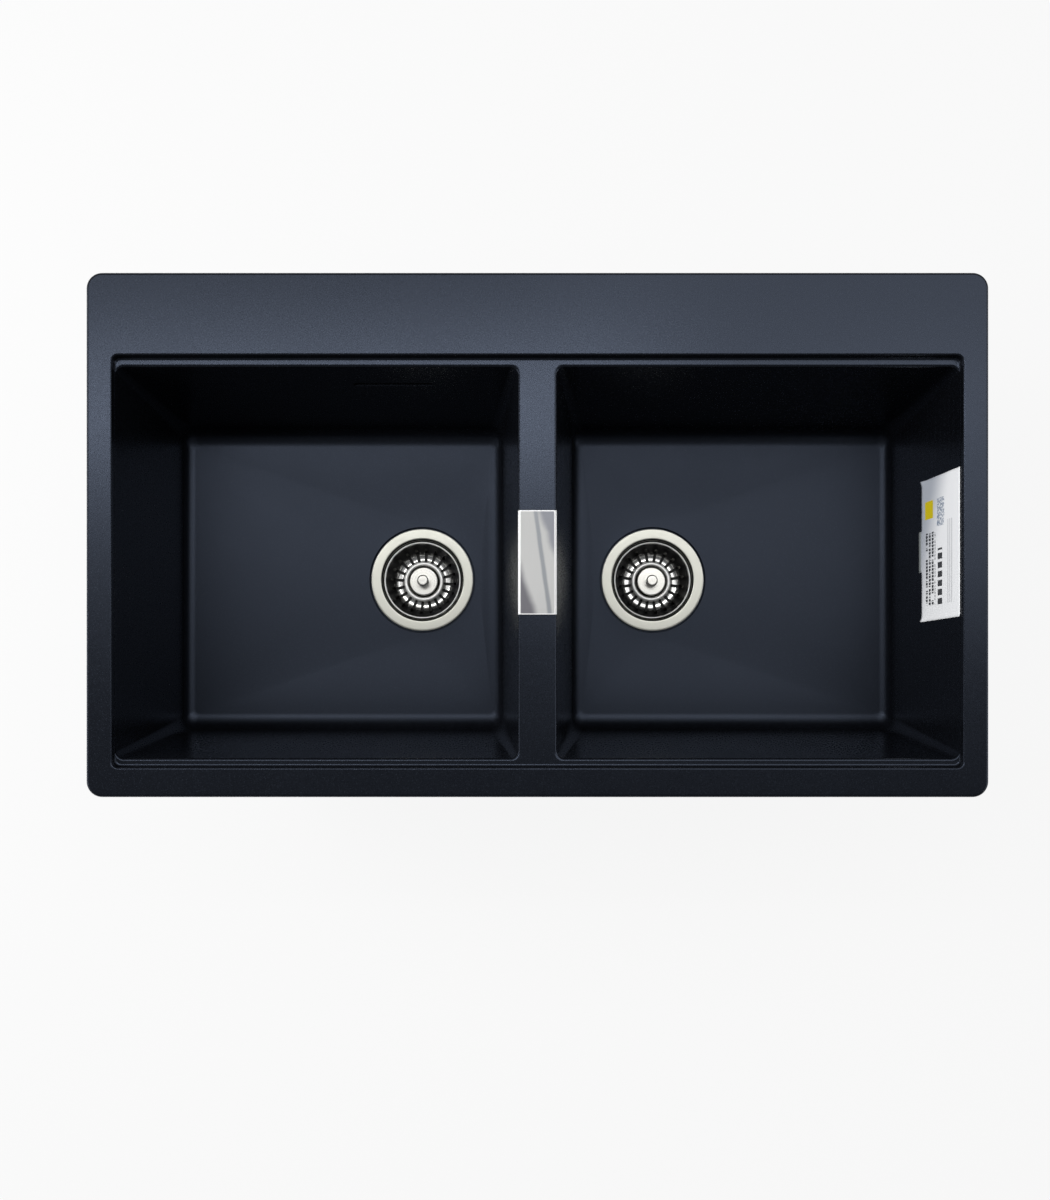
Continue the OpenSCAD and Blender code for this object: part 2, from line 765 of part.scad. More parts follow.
// The bent steel plate over the divider, as an outline swept along it
module divider_plate() {
    n = 6;
    z0 = ledge_z + tape_t - plate_bend_r;
    inner = [
        for (i = [0:n])
            let (a = 90 - plate_bend * (1 - i / n))
                [plate_flat + plate_bend_r * cos(a), z0 + plate_bend_r * sin(a)]
    ];
    outer_r = plate_bend_r + plate_t;
    outer = [
        for (i = [n:-1:0])
            let (a = 90 - plate_bend * (1 - i / n))
                [plate_flat + outer_r * cos(a), z0 + outer_r * sin(a)]
    ];
    left_inner = [for (i = [n:-1:0]) [-inner[i][0], inner[i][1]]];
    left_outer = [for (i = [n:-1:0]) [-outer[i][0], outer[i][1]]];
    color([0.82, 0.83, 0.84])
        translate([0, plate_y + plate_l / 2, 0])
            rotate([90, 0, 0])
                linear_extrude(plate_l)
                    polygon(concat(inner, left_inner, left_outer, outer));
}

// The paper label on the right bowl's outer wall, lying along the wall's slope
module paper_label() {
    color([0.95, 0.95, 0.93])
        translate([bowl_x1, label_y, ledge_z])
            rotate([0, side_draft, 0])
                translate([-fit - label_t, 0, -label_drop - label_h]) {
                    translate([0, -label_l / 2, 0]) cube([label_t, label_l, label_h]);
                    translate([0, -tab_l / 2, -tab_w]) cube([label_t, tab_l, tab_w + lap]);
                }
}

// The pressed steel flange with its cup, hub and arms
module strainer_flange() {
    bend_r = flange_flat_r - cup_r - cup_t;
    bend = [
        for (i = [0:edge_n])
            let (a = 90 + 90 * i / edge_n)
                [flange_flat_r + (bend_r + cup_t) * cos(a), -bend_r - cup_t + (bend_r + cup_t) * sin(a)]
    ];
    under = [
        for (i = [edge_n:-1:0])
            let (a = 90 + 90 * i / edge_n)
                [flange_flat_r + bend_r * cos(a), -bend_r - cup_t + bend_r * sin(a)]
    ];
    foot_r = cup_r - cup_taper;
    profile = concat(
        [[flange_r, -0.4], [flange_r - 0.4, 0]],
        bend,
        [[foot_r, cup_floor + 3], [foot_r - 3, cup_floor], [screw_r + seat_play, cup_floor]],
        [[screw_r + seat_play, hub_top], [foot_r - 3, hub_top], [foot_r + cup_t, cup_floor + 3]],
        under,
        [[flange_r, -cup_t]]
    );
    turn = 360 / arm_n;
    gap_a = 2 * asin(arm_w / 2 / outlet_r);
    color([0.80, 0.79, 0.75])
        difference() {
            rotate_extrude() polygon(profile);
            for (i = [0:arm_n - 1])
                rotate([0, 0, i * turn + gap_a / 2])
                    rotate_extrude(angle = turn - gap_a)
                        translate([hub_r, hub_top - lap]) square([outlet_r - hub_r, cup_t + 2 * lap]);
        }
}

module flange_seal() {
    t = seat_depth - cup_t;
    color([0.10, 0.10, 0.10])
        translate([0, 0, -seat_depth])
            difference() {
                cylinder(h = t, r = flange_r - 0.5);
                translate([0, 0, -lap]) cylinder(h = t + 2 * lap, r = drain_hole_r + 1);
            }
}

module body_seal() {
    color([0.10, 0.10, 0.10])
        translate([0, 0, body_top])
            difference() {
                cylinder(h = body_seal_t, r = waste_flange_r - 1);
                translate([0, 0, -lap]) cylinder(h = body_seal_t + 2 * lap, r = waste_r);
            }
}

// The moulded body under a drain: bowl, cone, threaded outlet, and a hub on bars for the screw
module waste_body() {
    outer_r = waste_r + waste_t;
    rotate_extrude()
        polygon([
            [waste_flange_r, body_top], [waste_flange_r, body_top - waste_flange_t],
            [outer_r, body_top - waste_flange_t], [outer_r, bar_foot],
            [waste_r, bar_foot], [waste_r, body_top]
        ]);
    difference() {
        union() {
            translate([0, 0, hub_top - screw_hub_h]) cylinder(h = screw_hub_h, r = screw_hub_r);
            for (a = [0, 90])
                rotate([0, 0, a + 45])
                    translate([-waste_r - 1, -hub_bar_w / 2, bar_foot])
                        cube([2 * waste_r + 2, hub_bar_w, hub_bar_h]);
        }
        translate([0, 0, hub_top - screw_hub_h - lap])
            cylinder(h = screw_hub_h + 2 * lap, r = insert_r + fit);
    }
}

// The cone with the threaded outlet, welded under the body by its collar
module waste_outlet() {
    outer_r = waste_r + waste_t;
    bore_r = tail_r - tail_t;
    color([0.13, 0.13, 0.14])
        rotate_extrude()
            polygon([
                [waste_r, bar_foot], [outer_r, bar_foot], [outer_r, bar_foot - weld_h],
                [tail_r, tail_top], [tail_r, tail_foot], [bore_r, tail_foot],
                [bore_r, tail_top + 1], [waste_r, bar_foot - weld_h + 1]
            ]);
}

// A hose spigot, standing on a wall at height 0 and open into it
module spigot() {
    translate([0, 0, -lap]) cylinder(h = spigot_l + lap, r = spigot_r);
}

module spigot_bore(depth) {
    translate([0, 0, -depth]) cylinder(h = spigot_l + depth + lap, r = spigot_r - spigot_t);
}

module screw_insert() {
    color([0.78, 0.62, 0.28])
        translate([0, 0, hub_top - seat_play - insert_l])
            difference() {
                cylinder(h = insert_l, r = insert_r);
                translate([0, 0, -lap]) cylinder(h = insert_l + 2 * lap, r = screw_r + fit);
            }
}

// The screw that clamps the cup to the body, with a guide for the basket's stem in its head
module clamp_screw() {
    color([0.75, 0.75, 0.77])
        difference() {
            union() {
                translate([0, 0, cup_floor - screw_l]) cylinder(h = screw_l + lap, r = screw_r);
                translate([0, 0, cup_floor]) cylinder(h = screw_head_h, r = screw_head_r);
            }
            translate([0, 0, screw_head_top - guide_depth]) cylinder(h = guide_depth + lap, r = guide_r);
            translate([0, 0, cup_floor - 2]) cylinder(h = screw_head_h, r = hex_r, $fn = 6);
        }
}

// The basket's sheet as a line of points from the rim to the middle, then the same line lower by its thickness
function basket_line() =
    let (
        wall_r = basket_rim_r - 2 * basket_roll_r,
        d = basket_depth,
        f = basket_floor,
        ring_z = basket_floor + basket_ring_h
    )
    [
        [wall_r, basket_top - basket_roll_r],
        [wall_r - 1.0, basket_top - 0.24 * d],
        [wall_r - 3.0, basket_top - 0.48 * d],
        [wall_r - 5.8, basket_top - 0.72 * d],
        [wall_r - 8.6, basket_top - 0.90 * d],
        [basket_floor_r + 1.5, f + 0.7],
        [basket_floor_r - 1, f],
        [basket_ring_r + 4.2, f],
        [basket_ring_r + 2.9, f + 0.14 * basket_ring_h],
        [basket_ring_r + 2.0, f + 0.55 * basket_ring_h],
        [basket_ring_r + 1.2, f + 0.88 * basket_ring_h],
        [basket_ring_r, ring_z],
        [basket_ring_r - 1.2, f + 0.90 * basket_ring_h],
        [basket_ring_r - 2.2, basket_middle + 0.8],
        [basket_ring_r - 3.4, basket_middle],
        [stem_r + seat_play, basket_middle]
    ];

function sheet_normal(p, i) =
    let (
        a = p[max(i - 1, 0)],
        b = p[min(i + 1, len(p) - 1)],
        l = norm(b - a)
    )
    [(b[1] - a[1]) / l, (a[0] - b[0]) / l];

module basket() {
    top = basket_line();
    under = [for (i = [len(top) - 1:-1:0]) top[i] - basket_t * sheet_normal(top, i)];
    roll_c = [basket_rim_r - basket_roll_r, basket_top - basket_roll_r];
    color([0.78, 0.78, 0.79])
        difference() {
            rotate_extrude()
                union() {
                    polygon(concat(top, under));
                    translate(roll_c) circle(basket_roll_r, $fn = 24);
                }
            for (i = [0:slot_n - 1])
                rotate([0, 0, (i + 0.5) * 360 / slot_n])
                    translate([slot_inner_r, -slot_w / 2, basket_floor - 2 * basket_t])
                        cube([slot_outer_r - slot_inner_r, slot_w, basket_depth * 0.8]);
        }
}

module basket_knob() {
    neck_fillet = 1.5;
    head_top = head_z + knob_head_h;
    profile = [
        [stem_r + fit, basket_middle], [knob_foot_r, basket_middle], [knob_foot_r, disc_z],
        [knob_disc_r - 0.8, disc_z], [knob_disc_r, disc_z + 0.8], [knob_disc_r, neck_z - 0.8],
        [knob_disc_r - 0.8, neck_z], [knob_neck_r + neck_fillet, neck_z],
        [knob_neck_r, neck_z + neck_fillet], [knob_neck_r, head_z - 0.6], [knob_head_r, head_z + 0.6],
        [knob_head_r, head_top - 1.4], [knob_head_r - 0.5, head_top - 0.5],
        [knob_head_r - 1.5, head_top], [0, head_top], [0, stem_head_z + seat_play],
        [stem_r + fit, stem_head_z + seat_play]
    ];
    color([0.72, 0.70, 0.66]) rotate_extrude() polygon(profile);
}

module basket_stem() {
    groove_r = ring_r - ring_wire_r - fit;
    groove_h = 2 * ring_wire_r + 2 * fit;
    color([0.70, 0.70, 0.72])
        difference() {
            translate([0, 0, stem_foot]) cylinder(h = stem_head_z - stem_foot, r = stem_r);
            rotate_extrude()
                translate([groove_r, ring_z - groove_h / 2]) square([stem_r, groove_h]);
        }
}

module stem_ring() {
    color([0.65, 0.65, 0.68])
        translate([0, 0, ring_z]) rotate_extrude() translate([ring_r, 0]) circle(ring_wire_r, $fn = 24);
}

// The rubber stopper under the basket, with a lip that seals on the cup's floor
module stopper() {
    lip_z = cup_floor + seat_play;
    profile = [
        [stem_r + fit, basket_middle - basket_t], [stopper_hub_r, basket_middle - basket_t],
        [stopper_hub_r, stopper_top], [stopper_lip_r - 4, stopper_top],
        [stopper_lip_r - 2.5, stopper_top - 1], [stopper_lip_r, lip_z],
        [stopper_lip_r - stopper_lip_t, lip_z],
        [stopper_lip_r - stopper_lip_t - 3, nut_top], [stem_r + fit, nut_top]
    ];
    color([0.08, 0.08, 0.08]) rotate_extrude() polygon(profile);
}

module stem_nut() {
    color([0.68, 0.68, 0.70])
        translate([0, 0, nut_top - stem_nut_h])
            difference() {
                cylinder(h = stem_nut_h, r = stem_nut_r, $fn = 6);
                translate([0, 0, -lap]) cylinder(h = stem_nut_h + 2 * lap, r = stem_r + fit);
            }
}

// The housing behind the overflow slot, open to the front, with two ears and a spigot below
module overflow_housing() {
    z0 = slot_z - housing_h / 2;
    color([0.13, 0.13, 0.14])
        difference() {
            union() {
                translate([-overflow_x - housing_w / 2, housing_y, z0])
                    cube([housing_w, housing_d, housing_h]);
                translate([-overflow_x - housing_w / 2 - ear_l, housing_y, slot_z - ear_l / 2])
                    cube([housing_w + 2 * ear_l, ear_t, ear_l]);
                translate([hose_x, hose_y, z0]) rotate([180, 0, 0]) spigot();
            }
            translate([-overflow_x - housing_w / 2 + housing_t, housing_y - lap, z0 + housing_t])
                cube([
                    housing_w - 2 * housing_t, housing_d - housing_t + lap, housing_h - 2 * housing_t
                ]);
            translate([hose_x, hose_y, z0]) rotate([180, 0, 0]) spigot_bore(housing_t + lap);
            at_housing_screws(housing_y - lap)
                cylinder(h = ear_t + 2 * lap, r = housing_screw_r + fit);
        }
}

module overflow_seal() {
    w = housing_w + 2 * ear_l;
    color([0.10, 0.10, 0.10])
        difference() {
            translate([-overflow_x - w / 2, pad_y, slot_z - housing_h / 2])
                cube([w, gasket_t, housing_h]);
            translate([-overflow_x, 0, slot_z])
                slot_prism(overflow_w + 2, overflow_h + 4, pad_y - lap, housing_y + lap);
            at_housing_screws(pad_y - lap)
                cylinder(h = gasket_t + 2 * lap, r = housing_screw_r + fit);
        }
}

module overflow_screws() {
    color([0.75, 0.75, 0.77])
        at_housing_screws(housing_y + ear_t) {
            cylinder(h = 2.4, r = 2 * housing_screw_r);
            translate([0, 0, -ear_t - gasket_t - housing_screw_l])
                cylinder(h = ear_t + gasket_t + housing_screw_l + lap, r = housing_screw_r);
        }
}

// The hose's route in its own upright plane: where it is at a length along it, as [y, z, turn]
function hose_at(s) =
    s < hose_down_l ? [hose_y, hose_top - s, 0]
    : s > hose_down_l + hose_bend_l
        ? [hose_y - hose_bend_r - (s - hose_down_l - hose_bend_l), hose_low, 90]
        : let (a = (s - hose_down_l) / hose_bend_l * 90)
            [
                hose_y - hose_bend_r * (1 - cos(a)),
                hose_low + hose_bend_r * (1 - sin(a)),
                a
            ];
function hose_ring(s, r) =
    let (c = hose_at(s))
    [
        for (i = [0:7])
            let (a = 22.5 + 45 * i, u = r * sin(a))
                [hose_x + r * cos(a), c[0] + u * cos(c[2]), c[1] - u * sin(c[2])]
    ];

// The ribbed hose: its outer rings from top to bottom, then its bore's rings back again
module overflow_hose() {
    first = (hose_l - ribbed_l) / 2;
    cuff_r = hose_rib_r;
    ribs = [
        for (i = [0:rib_n - 1])
            each [
                hose_ring(first + i * hose_pitch, hose_root_r),
                hose_ring(first + (i + 0.5) * hose_pitch, hose_rib_r)
            ]
    ];
    outer = concat(
        [hose_ring(0, cuff_r), hose_ring(first - hose_pitch / 2, cuff_r)],
        ribs,
        [hose_ring(hose_l - first, hose_root_r)],
        [hose_ring(hose_l - first + hose_pitch / 2, cuff_r), hose_ring(hose_l, cuff_r)]
    );
    bend = [
        for (i = [bend_n:-1:0])
            hose_ring(hose_down_l + hose_bend_l * i / bend_n, bore_corner_r)
    ];
    bore = concat([hose_ring(hose_l, bore_corner_r)], bend, [hose_ring(0, bore_corner_r)]);
    rings = concat(outer, bore);
    n = len(rings);
    faces = [
        for (k = [0:n - 1])
            for (i = [0:7])
                let (a = k * 8, b = ((k + 1) % n) * 8, j = (i + 1) % 8)
                    each [[a + i, b + j, b + i], [a + i, a + j, b + j]]
    ];
    color([0.55, 0.56, 0.57])
        polyhedron(points = [for (ring = rings) each ring], faces = faces, convexity = 8);
}

module hose_clamp() {
    r = hose_rib_r + fit;
    difference() {
        union() {
            cylinder(h = clamp_l, r = r + clamp_t);
            translate([0, -clamp_l / 2, 0]) cube([r + clamp_t + 4, clamp_l, clamp_l]);
        }
        translate([0, 0, -lap]) cylinder(h = clamp_l + 2 * lap, r = r);
    }
}

module hose_clamps() {
    inset = (hose_overlap - clamp_l) / 2;
    color([0.72, 0.72, 0.74]) {
        translate([hose_x, hose_y, hose_top - inset - clamp_l]) hose_clamp();
        translate([hose_x, hose_end + inset, hose_low]) rotate([-90, 0, 0]) hose_clamp();
    }
}

module clip_dowels() {
    color([0.85, 0.85, 0.83])
        at_clip_screws()
            difference() {
                translate([0, 0, -dowel_l]) cylinder(h = dowel_l, r = dowel_r);
                translate([0, 0, -dowel_l - lap]) cylinder(h = dowel_l + 2 * lap, r = clip_screw_r + fit);
            }
}

module clip_screws() {
    color([0.75, 0.75, 0.77])
        at_clip_screws() {
            translate([0, 0, -dowel_l + 1])
                cylinder(h = dowel_l + washer_z + washer_t, r = clip_screw_r);
            translate([0, 0, washer_z + washer_t]) cylinder(h = clip_head_h, r = clip_head_r);
        }
}

module clip_washers() {
    color([0.75, 0.75, 0.77])
        at_clip_screws()
            translate([0, 0, washer_z])
                difference() {
                    cylinder(h = washer_t, r = washer_r);
                    translate([0, 0, -lap]) cylinder(h = washer_t + 2 * lap, r = clip_screw_r + fit);
                }
}

// A toothed bracket: its side view swept along X, with the slot that it slides by
module bracket() {
    claw_top = clip_foot + clip_t;
    teeth = [
        for (i = [0:tooth_n - 1])
            let (y = claw_l - i * tooth_pitch)
                each [[y, claw_top], [y - tooth_pitch / 2, claw_top + tooth_h], [y - tooth_pitch, claw_top]]
    ];
    side_view = concat(
        [[clip_back, clip_foot + 1.5], [clip_back + 1.5, clip_foot], [claw_l, clip_foot]],
        teeth,
        [[clip_face, claw_top], [clip_face, clip_top], [clip_back, clip_top]]
    );
    color([0.78, 0.78, 0.80])
        difference() {
            translate([clip_w / 2, 0, 0])
                rotate([90, 0, -90])
                    linear_extrude(clip_w)
                        mirror([1, 0]) polygon(side_view);
            translate([0, 0, clip_slot_top]) slot_end();
            translate([0, 0, clip_slot_foot]) slot_end();
            translate([-clip_slot_r, clip_back - lap, clip_slot_foot])
                cube([2 * clip_slot_r, clip_t + 2 * lap, clip_slot_top - clip_slot_foot]);
        }
}

module slot_end() {
    translate([0, clip_face + lap, 0]) rotate([90, 0, 0]) cylinder(h = clip_t + 2 * lap, r = clip_slot_r);
}

module back_clip(i) {
    translate([clips[i] * clip_pitch, skirt_y, 0]) bracket();
}

module front_clip(i) {
    translate([clips[i] * clip_pitch, -skirt_y, 0]) mirror([0, 1, 0]) bracket();
}

module left_strainer_flange() { at_drain(-1) strainer_flange(); }
module left_flange_seal() { at_drain(-1) flange_seal(); }
module left_waste_outlet() { at_drain(-1) waste_outlet(); }
module left_body_seal() { at_drain(-1) body_seal(); }
module left_clamp_screw() { at_drain(-1) clamp_screw(); }
module left_screw_insert() { at_drain(-1) screw_insert(); }
module left_basket() { at_drain(-1) basket(); }
module left_basket_knob() { at_drain(-1) basket_knob(); }
module left_basket_stem() { at_drain(-1) basket_stem(); }
module left_stopper() { at_drain(-1) stopper(); }
module left_stem_nut() { at_drain(-1) stem_nut(); }
module left_stem_ring() { at_drain(-1) stem_ring(); }

// The left body also takes the overflow's hose
module left_waste_body() {
    color([0.13, 0.13, 0.14])
        at_drain(-1)
            difference() {
                union() {
                    waste_body();
                    translate([0, waste_r + waste_t, body_top - hose_drop]) rotate([-90, 0, 0]) spigot();
                }
                translate([0, waste_r + waste_t, body_top - hose_drop])
                    rotate([-90, 0, 0]) spigot_bore(waste_t + lap);
            }
}

module right_waste_body() { color([0.13, 0.13, 0.14]) at_drain(1) waste_body(); }
module right_strainer_flange() { at_drain(1) strainer_flange(); }
module right_flange_seal() { at_drain(1) flange_seal(); }
module right_waste_outlet() { at_drain(1) waste_outlet(); }
module right_body_seal() { at_drain(1) body_seal(); }
module right_clamp_screw() { at_drain(1) clamp_screw(); }
module right_screw_insert() { at_drain(1) screw_insert(); }
module right_basket() { at_drain(1) basket(); }
module right_basket_knob() { at_drain(1) basket_knob(); }
module right_basket_stem() { at_drain(1) basket_stem(); }
module right_stopper() { at_drain(1) stopper(); }
module right_stem_nut() { at_drain(1) stem_nut(); }
module right_stem_ring() { at_drain(1) stem_ring(); }

module back_clip_1() { back_clip(0); }
module back_clip_2() { back_clip(1); }
module back_clip_3() { back_clip(2); }
module back_clip_4() { back_clip(3); }
module front_clip_1() { front_clip(0); }
module front_clip_2() { front_clip(1); }
module front_clip_3() { front_clip(2); }
module front_clip_4() { front_clip(3); }

sink_body();
rim_seal();
plate_tape();
divider_plate();
paper_label();
left_strainer_flange();
left_flange_seal();
left_waste_body();
left_waste_outlet();
left_body_seal();
left_clamp_screw();
left_screw_insert();
left_basket();
left_basket_knob();
left_basket_stem();
left_stopper();
left_stem_nut();
left_stem_ring();
right_strainer_flange();
right_flange_seal();
right_waste_body();
right_waste_outlet();
right_body_seal();
right_clamp_screw();
right_screw_insert();
right_basket();
right_basket_knob();
right_basket_stem();
right_stopper();
right_stem_nut();
right_stem_ring();
overflow_housing();
overflow_seal();
overflow_screws();
overflow_hose();
hose_clamps();
clip_dowels();
clip_screws();
clip_washers();
back_clip_1();
back_clip_2();
back_clip_3();
back_clip_4();
front_clip_1();
front_clip_2();
front_clip_3();
front_clip_4();
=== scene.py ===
"""A double bowl granite sink with its strainers, overflow and fixing clips, dressed on its CAD frame."""

import json
import math

import bmesh
import bpy
from bpy.props import (BoolProperty, FloatProperty, FloatVectorProperty, IntProperty,
                       PointerProperty)
from mathutils import Matrix, Vector


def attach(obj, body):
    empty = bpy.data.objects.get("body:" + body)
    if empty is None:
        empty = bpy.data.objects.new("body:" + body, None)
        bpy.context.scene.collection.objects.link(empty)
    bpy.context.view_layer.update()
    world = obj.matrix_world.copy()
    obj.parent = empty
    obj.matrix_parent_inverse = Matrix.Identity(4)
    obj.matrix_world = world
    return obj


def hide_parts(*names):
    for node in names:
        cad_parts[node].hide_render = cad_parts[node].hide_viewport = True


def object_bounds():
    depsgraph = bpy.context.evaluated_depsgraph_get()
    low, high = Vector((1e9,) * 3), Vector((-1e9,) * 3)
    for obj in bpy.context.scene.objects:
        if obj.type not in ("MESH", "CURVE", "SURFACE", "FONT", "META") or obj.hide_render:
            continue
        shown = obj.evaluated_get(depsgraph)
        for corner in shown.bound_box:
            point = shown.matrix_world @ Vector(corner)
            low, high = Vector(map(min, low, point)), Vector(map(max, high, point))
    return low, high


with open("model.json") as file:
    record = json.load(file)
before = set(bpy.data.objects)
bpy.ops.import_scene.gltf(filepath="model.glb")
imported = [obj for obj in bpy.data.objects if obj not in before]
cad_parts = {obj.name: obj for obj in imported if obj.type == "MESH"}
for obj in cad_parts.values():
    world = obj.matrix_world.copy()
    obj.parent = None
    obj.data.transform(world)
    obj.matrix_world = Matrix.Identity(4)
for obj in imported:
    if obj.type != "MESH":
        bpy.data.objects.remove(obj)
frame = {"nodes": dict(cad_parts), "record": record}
cad_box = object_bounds()

bl_info = {
    "name": "Granite Sink",
    "version": (1, 0, 0),
    "blender": (4, 5, 0),
    "location": "View3D > Sidebar > Granite Sink",
    "description": "Builds a double bowl granite sink with strainers, overflow and clips",
    "category": "Object",
}

SIDES = {"left": -1, "right": 1}


# Sizes and colours

def size(name, value, text):
    """A length that the user can change, given here in millimetres."""
    return FloatProperty(name=name, description=text, default=value / 1000, min=0, unit="LENGTH")


def angle(name, value, text):
    return FloatProperty(name=name, description=text, default=math.radians(value), unit="ROTATION")


def share(name, value, text):
    return FloatProperty(name=name, description=text, default=value, min=0, max=1, subtype="FACTOR")


def colour(name, value, text):
    return FloatVectorProperty(name=name, description=text, default=value, size=3, min=0, max=1,
                               subtype="COLOR")


def place(name, value, text):
    """A place on either side of the middle, given here in millimetres."""
    return FloatProperty(name=name, description=text, default=value / 1000, unit="LENGTH")


def power(name, value, text):
    return FloatProperty(name=name, description=text, default=value, min=0, unit="POWER")


class SinkCasting(bpy.types.PropertyGroup):
    rim_w: size("Rim width", 860, "Width of the rim, left to right")
    rim_d: size("Rim depth", 500, "Depth of the rim, front to back")
    rim_h: size("Rim height", 10, "Height of the rim above the worktop")
    rim_corner: size("Rim corner radius", 15, "Radius of the rim's corners from above")
    rim_edge: size("Rim edge radius", 3, "Radius along the rim's top edge")
    side_rim: size("Side rim", 24.4, "Width of the rim beside the recess")
    tap_ledge: size("Tap ledge", 79, "Depth of the flat ledge behind the recess")
    front_rim: size("Front rim", 28.4, "Depth of the rim in front of the recess")
    recess_edge: size("Recess edge radius", 2, "Radius along the recess's top edge")
    recess_fillet: size("Recess fillet", 3, "Radius round the recess's floor")
    divider_w: size("Divider width", 36.8, "Thickness of the divider under its top")
    back_ledge: size("Back ledge", 8.6, "Ledge between the recess's back wall and the bowls")
    front_ledge: size("Front ledge", 8.2, "Ledge between the recess's front wall and the bowls")
    side_step: size("Side step", 0.5, "Step between the recess's side wall and the bowl wall")
    bowl_depth: size("Bowl depth", 190, "Depth of the bowls below the ledges")
    floor_fall: size("Floor fall", 3, "Fall of the floor from its edge to the drain")
    bowl_draft: angle("End wall slope", 8, "Slope of the front and back walls from upright")
    side_draft: angle("Side wall slope", 6.3, "Slope of the side walls from upright")
    bowl_edge: size("Bowl edge radius", 2.5, "Radius along the bowls' top edges")
    floor_fillet: size("End fillet", 18, "Radius between the floor and the front and back walls")
    side_fillet: size("Side fillet", 11, "Radius between the floor and the side walls")
    wall_t: size("Wall thickness", 8, "Thickness of the bowl walls")
    drain_inset: size("Drain inset", 108, "Distance from a bowl's inner wall to its drain's middle")
    drain_y: place("Drain place", -25, "Place of the drains' middles, front to back")
    drain_flat: size("Drain flat radius", 61.9, "Radius of the flat round a drain")
    rim_lap: size("Rim lap", 10, "How far the rim lies over the worktop")
    skirt_side: size("Skirt side gap", 3.5, "Gap between the cut-out and the skirt at the sides")
    skirt_end: size("Skirt end gap", 8, "Gap between the cut-out and the skirt at the front and back")
    skirt_h: size("Skirt height", 30, "How far the skirt hangs below the rim")
    tap_r: size("Tap hole radius", 17.5, "Radius of the blind holes under the tap ledge")
    tap_pitch: size("Tap hole pitch", 105, "Spacing of the blind holes, from the middle to the right")
    tap_inset: size("Tap hole inset", 50, "Distance of the blind holes from the rim's back edge")


class SinkStrainer(bpy.types.PropertyGroup):
    flange_r: size("Flange radius", 56, "Outer radius of the steel flange")
    flange_flat_r: size("Flat ring radius", 46.5, "Inner radius of the flange's flat ring")
    cup_r: size("Cup radius", 43.2, "Inner radius of the cup")
    cup_depth: size("Cup depth", 42, "Depth of the cup below the flange")
    basket_rim_r: size("Basket rim radius", 42.2, "Outer radius of the basket's rolled rim")
    basket_depth: size("Basket depth", 25, "Depth of the basket's floor below its rim")
    basket_ring_r: size("Basket ring radius", 19.7, "Radius of the raised ring round the knob")
    slot_n: IntProperty(name="Slots", description="Number of slots in a basket", default=20, min=8, max=40)
    slot_w: size("Slot width", 3.3, "Width of a slot")
    turned: angle("Basket turn", 4.5, "How far the left basket is turned in its cup")
    knob_disc_r: size("Knob disc radius", 15.6, "Radius of the disc under the knob")
    knob_head_r: size("Knob head radius", 6.3, "Radius of the knob's head")
    stopper_r: size("Stopper radius", 36.5, "Radius of the stopper's lip")


class SinkPlate(bpy.types.PropertyGroup):
    plate_l: size("Plate length", 100, "Length of the steel plate over the divider")
    plate_y: place("Plate place", -25.5, "Place of the plate's centre along the divider")
    plate_t: size("Plate thickness", 0.8, "Thickness of the plate's steel")
    plate_bend: angle("Plate bend", 50, "Angle that the plate's edges are bent through")
    label_l: size("Label length", 143.6, "Length of the paper label along the wall")
    label_h: size("Label height", 95, "Height of the paper label down the wall")
    label_curl: size("Label curl", 1.4, "How far the label's lower corners stand off the wall")
    label_y: place("Label place", -5.4, "Place of the label's centre, front to back")
    tab_l: size("Tab length", 47.2, "Length of the tab under the label")
    tab_h: size("Tab height", 7, "Height of the tab under the label")


class SinkFittings(bpy.types.PropertyGroup):
    waste_r: size("Body radius", 51, "Outer radius of the body of the waste")
    waste_flange_r: size("Body flange radius", 58, "Outer radius of the body's top flange")
    tail_r: size("Outlet radius", 23.9, "Outer radius of the outlet's thread")
    tail_l: size("Outlet length", 26, "Length of the outlet's thread")
    thread_pitch: size("Thread pitch", 2.309, "Pitch of the outlet's thread")
    overflow_w: size("Overflow width", 80, "Width of the overflow slot")
    overflow_h: size("Overflow height", 8, "Height of the overflow slot")
    overflow_shift: size("Overflow shift", 16.6, "Distance of the slot's middle to the left of the left drain")
    overflow_drop: size("Overflow depth", 46, "Depth of the slot's middle below the ledge")
    ear_screw: size("Ear screw place", 52, "Distance of the housing's screws from its middle")
    hose_rib_r: size("Hose rib radius", 11.5, "Radius of the hose on its ribs")
    hose_root_r: size("Hose groove radius", 9.4, "Radius of the hose between its ribs")
    hose_pitch: size("Hose rib pitch", 4.2, "Distance from rib to rib")
    hose_bend: size("Hose bend radius", 46, "Radius of the hose's bend")
    clip_w: size("Clip width", 22, "Width of a clip's bracket")
    clip_pitch: size("Clip pitch", 220, "Spacing of the clips along the front and back")


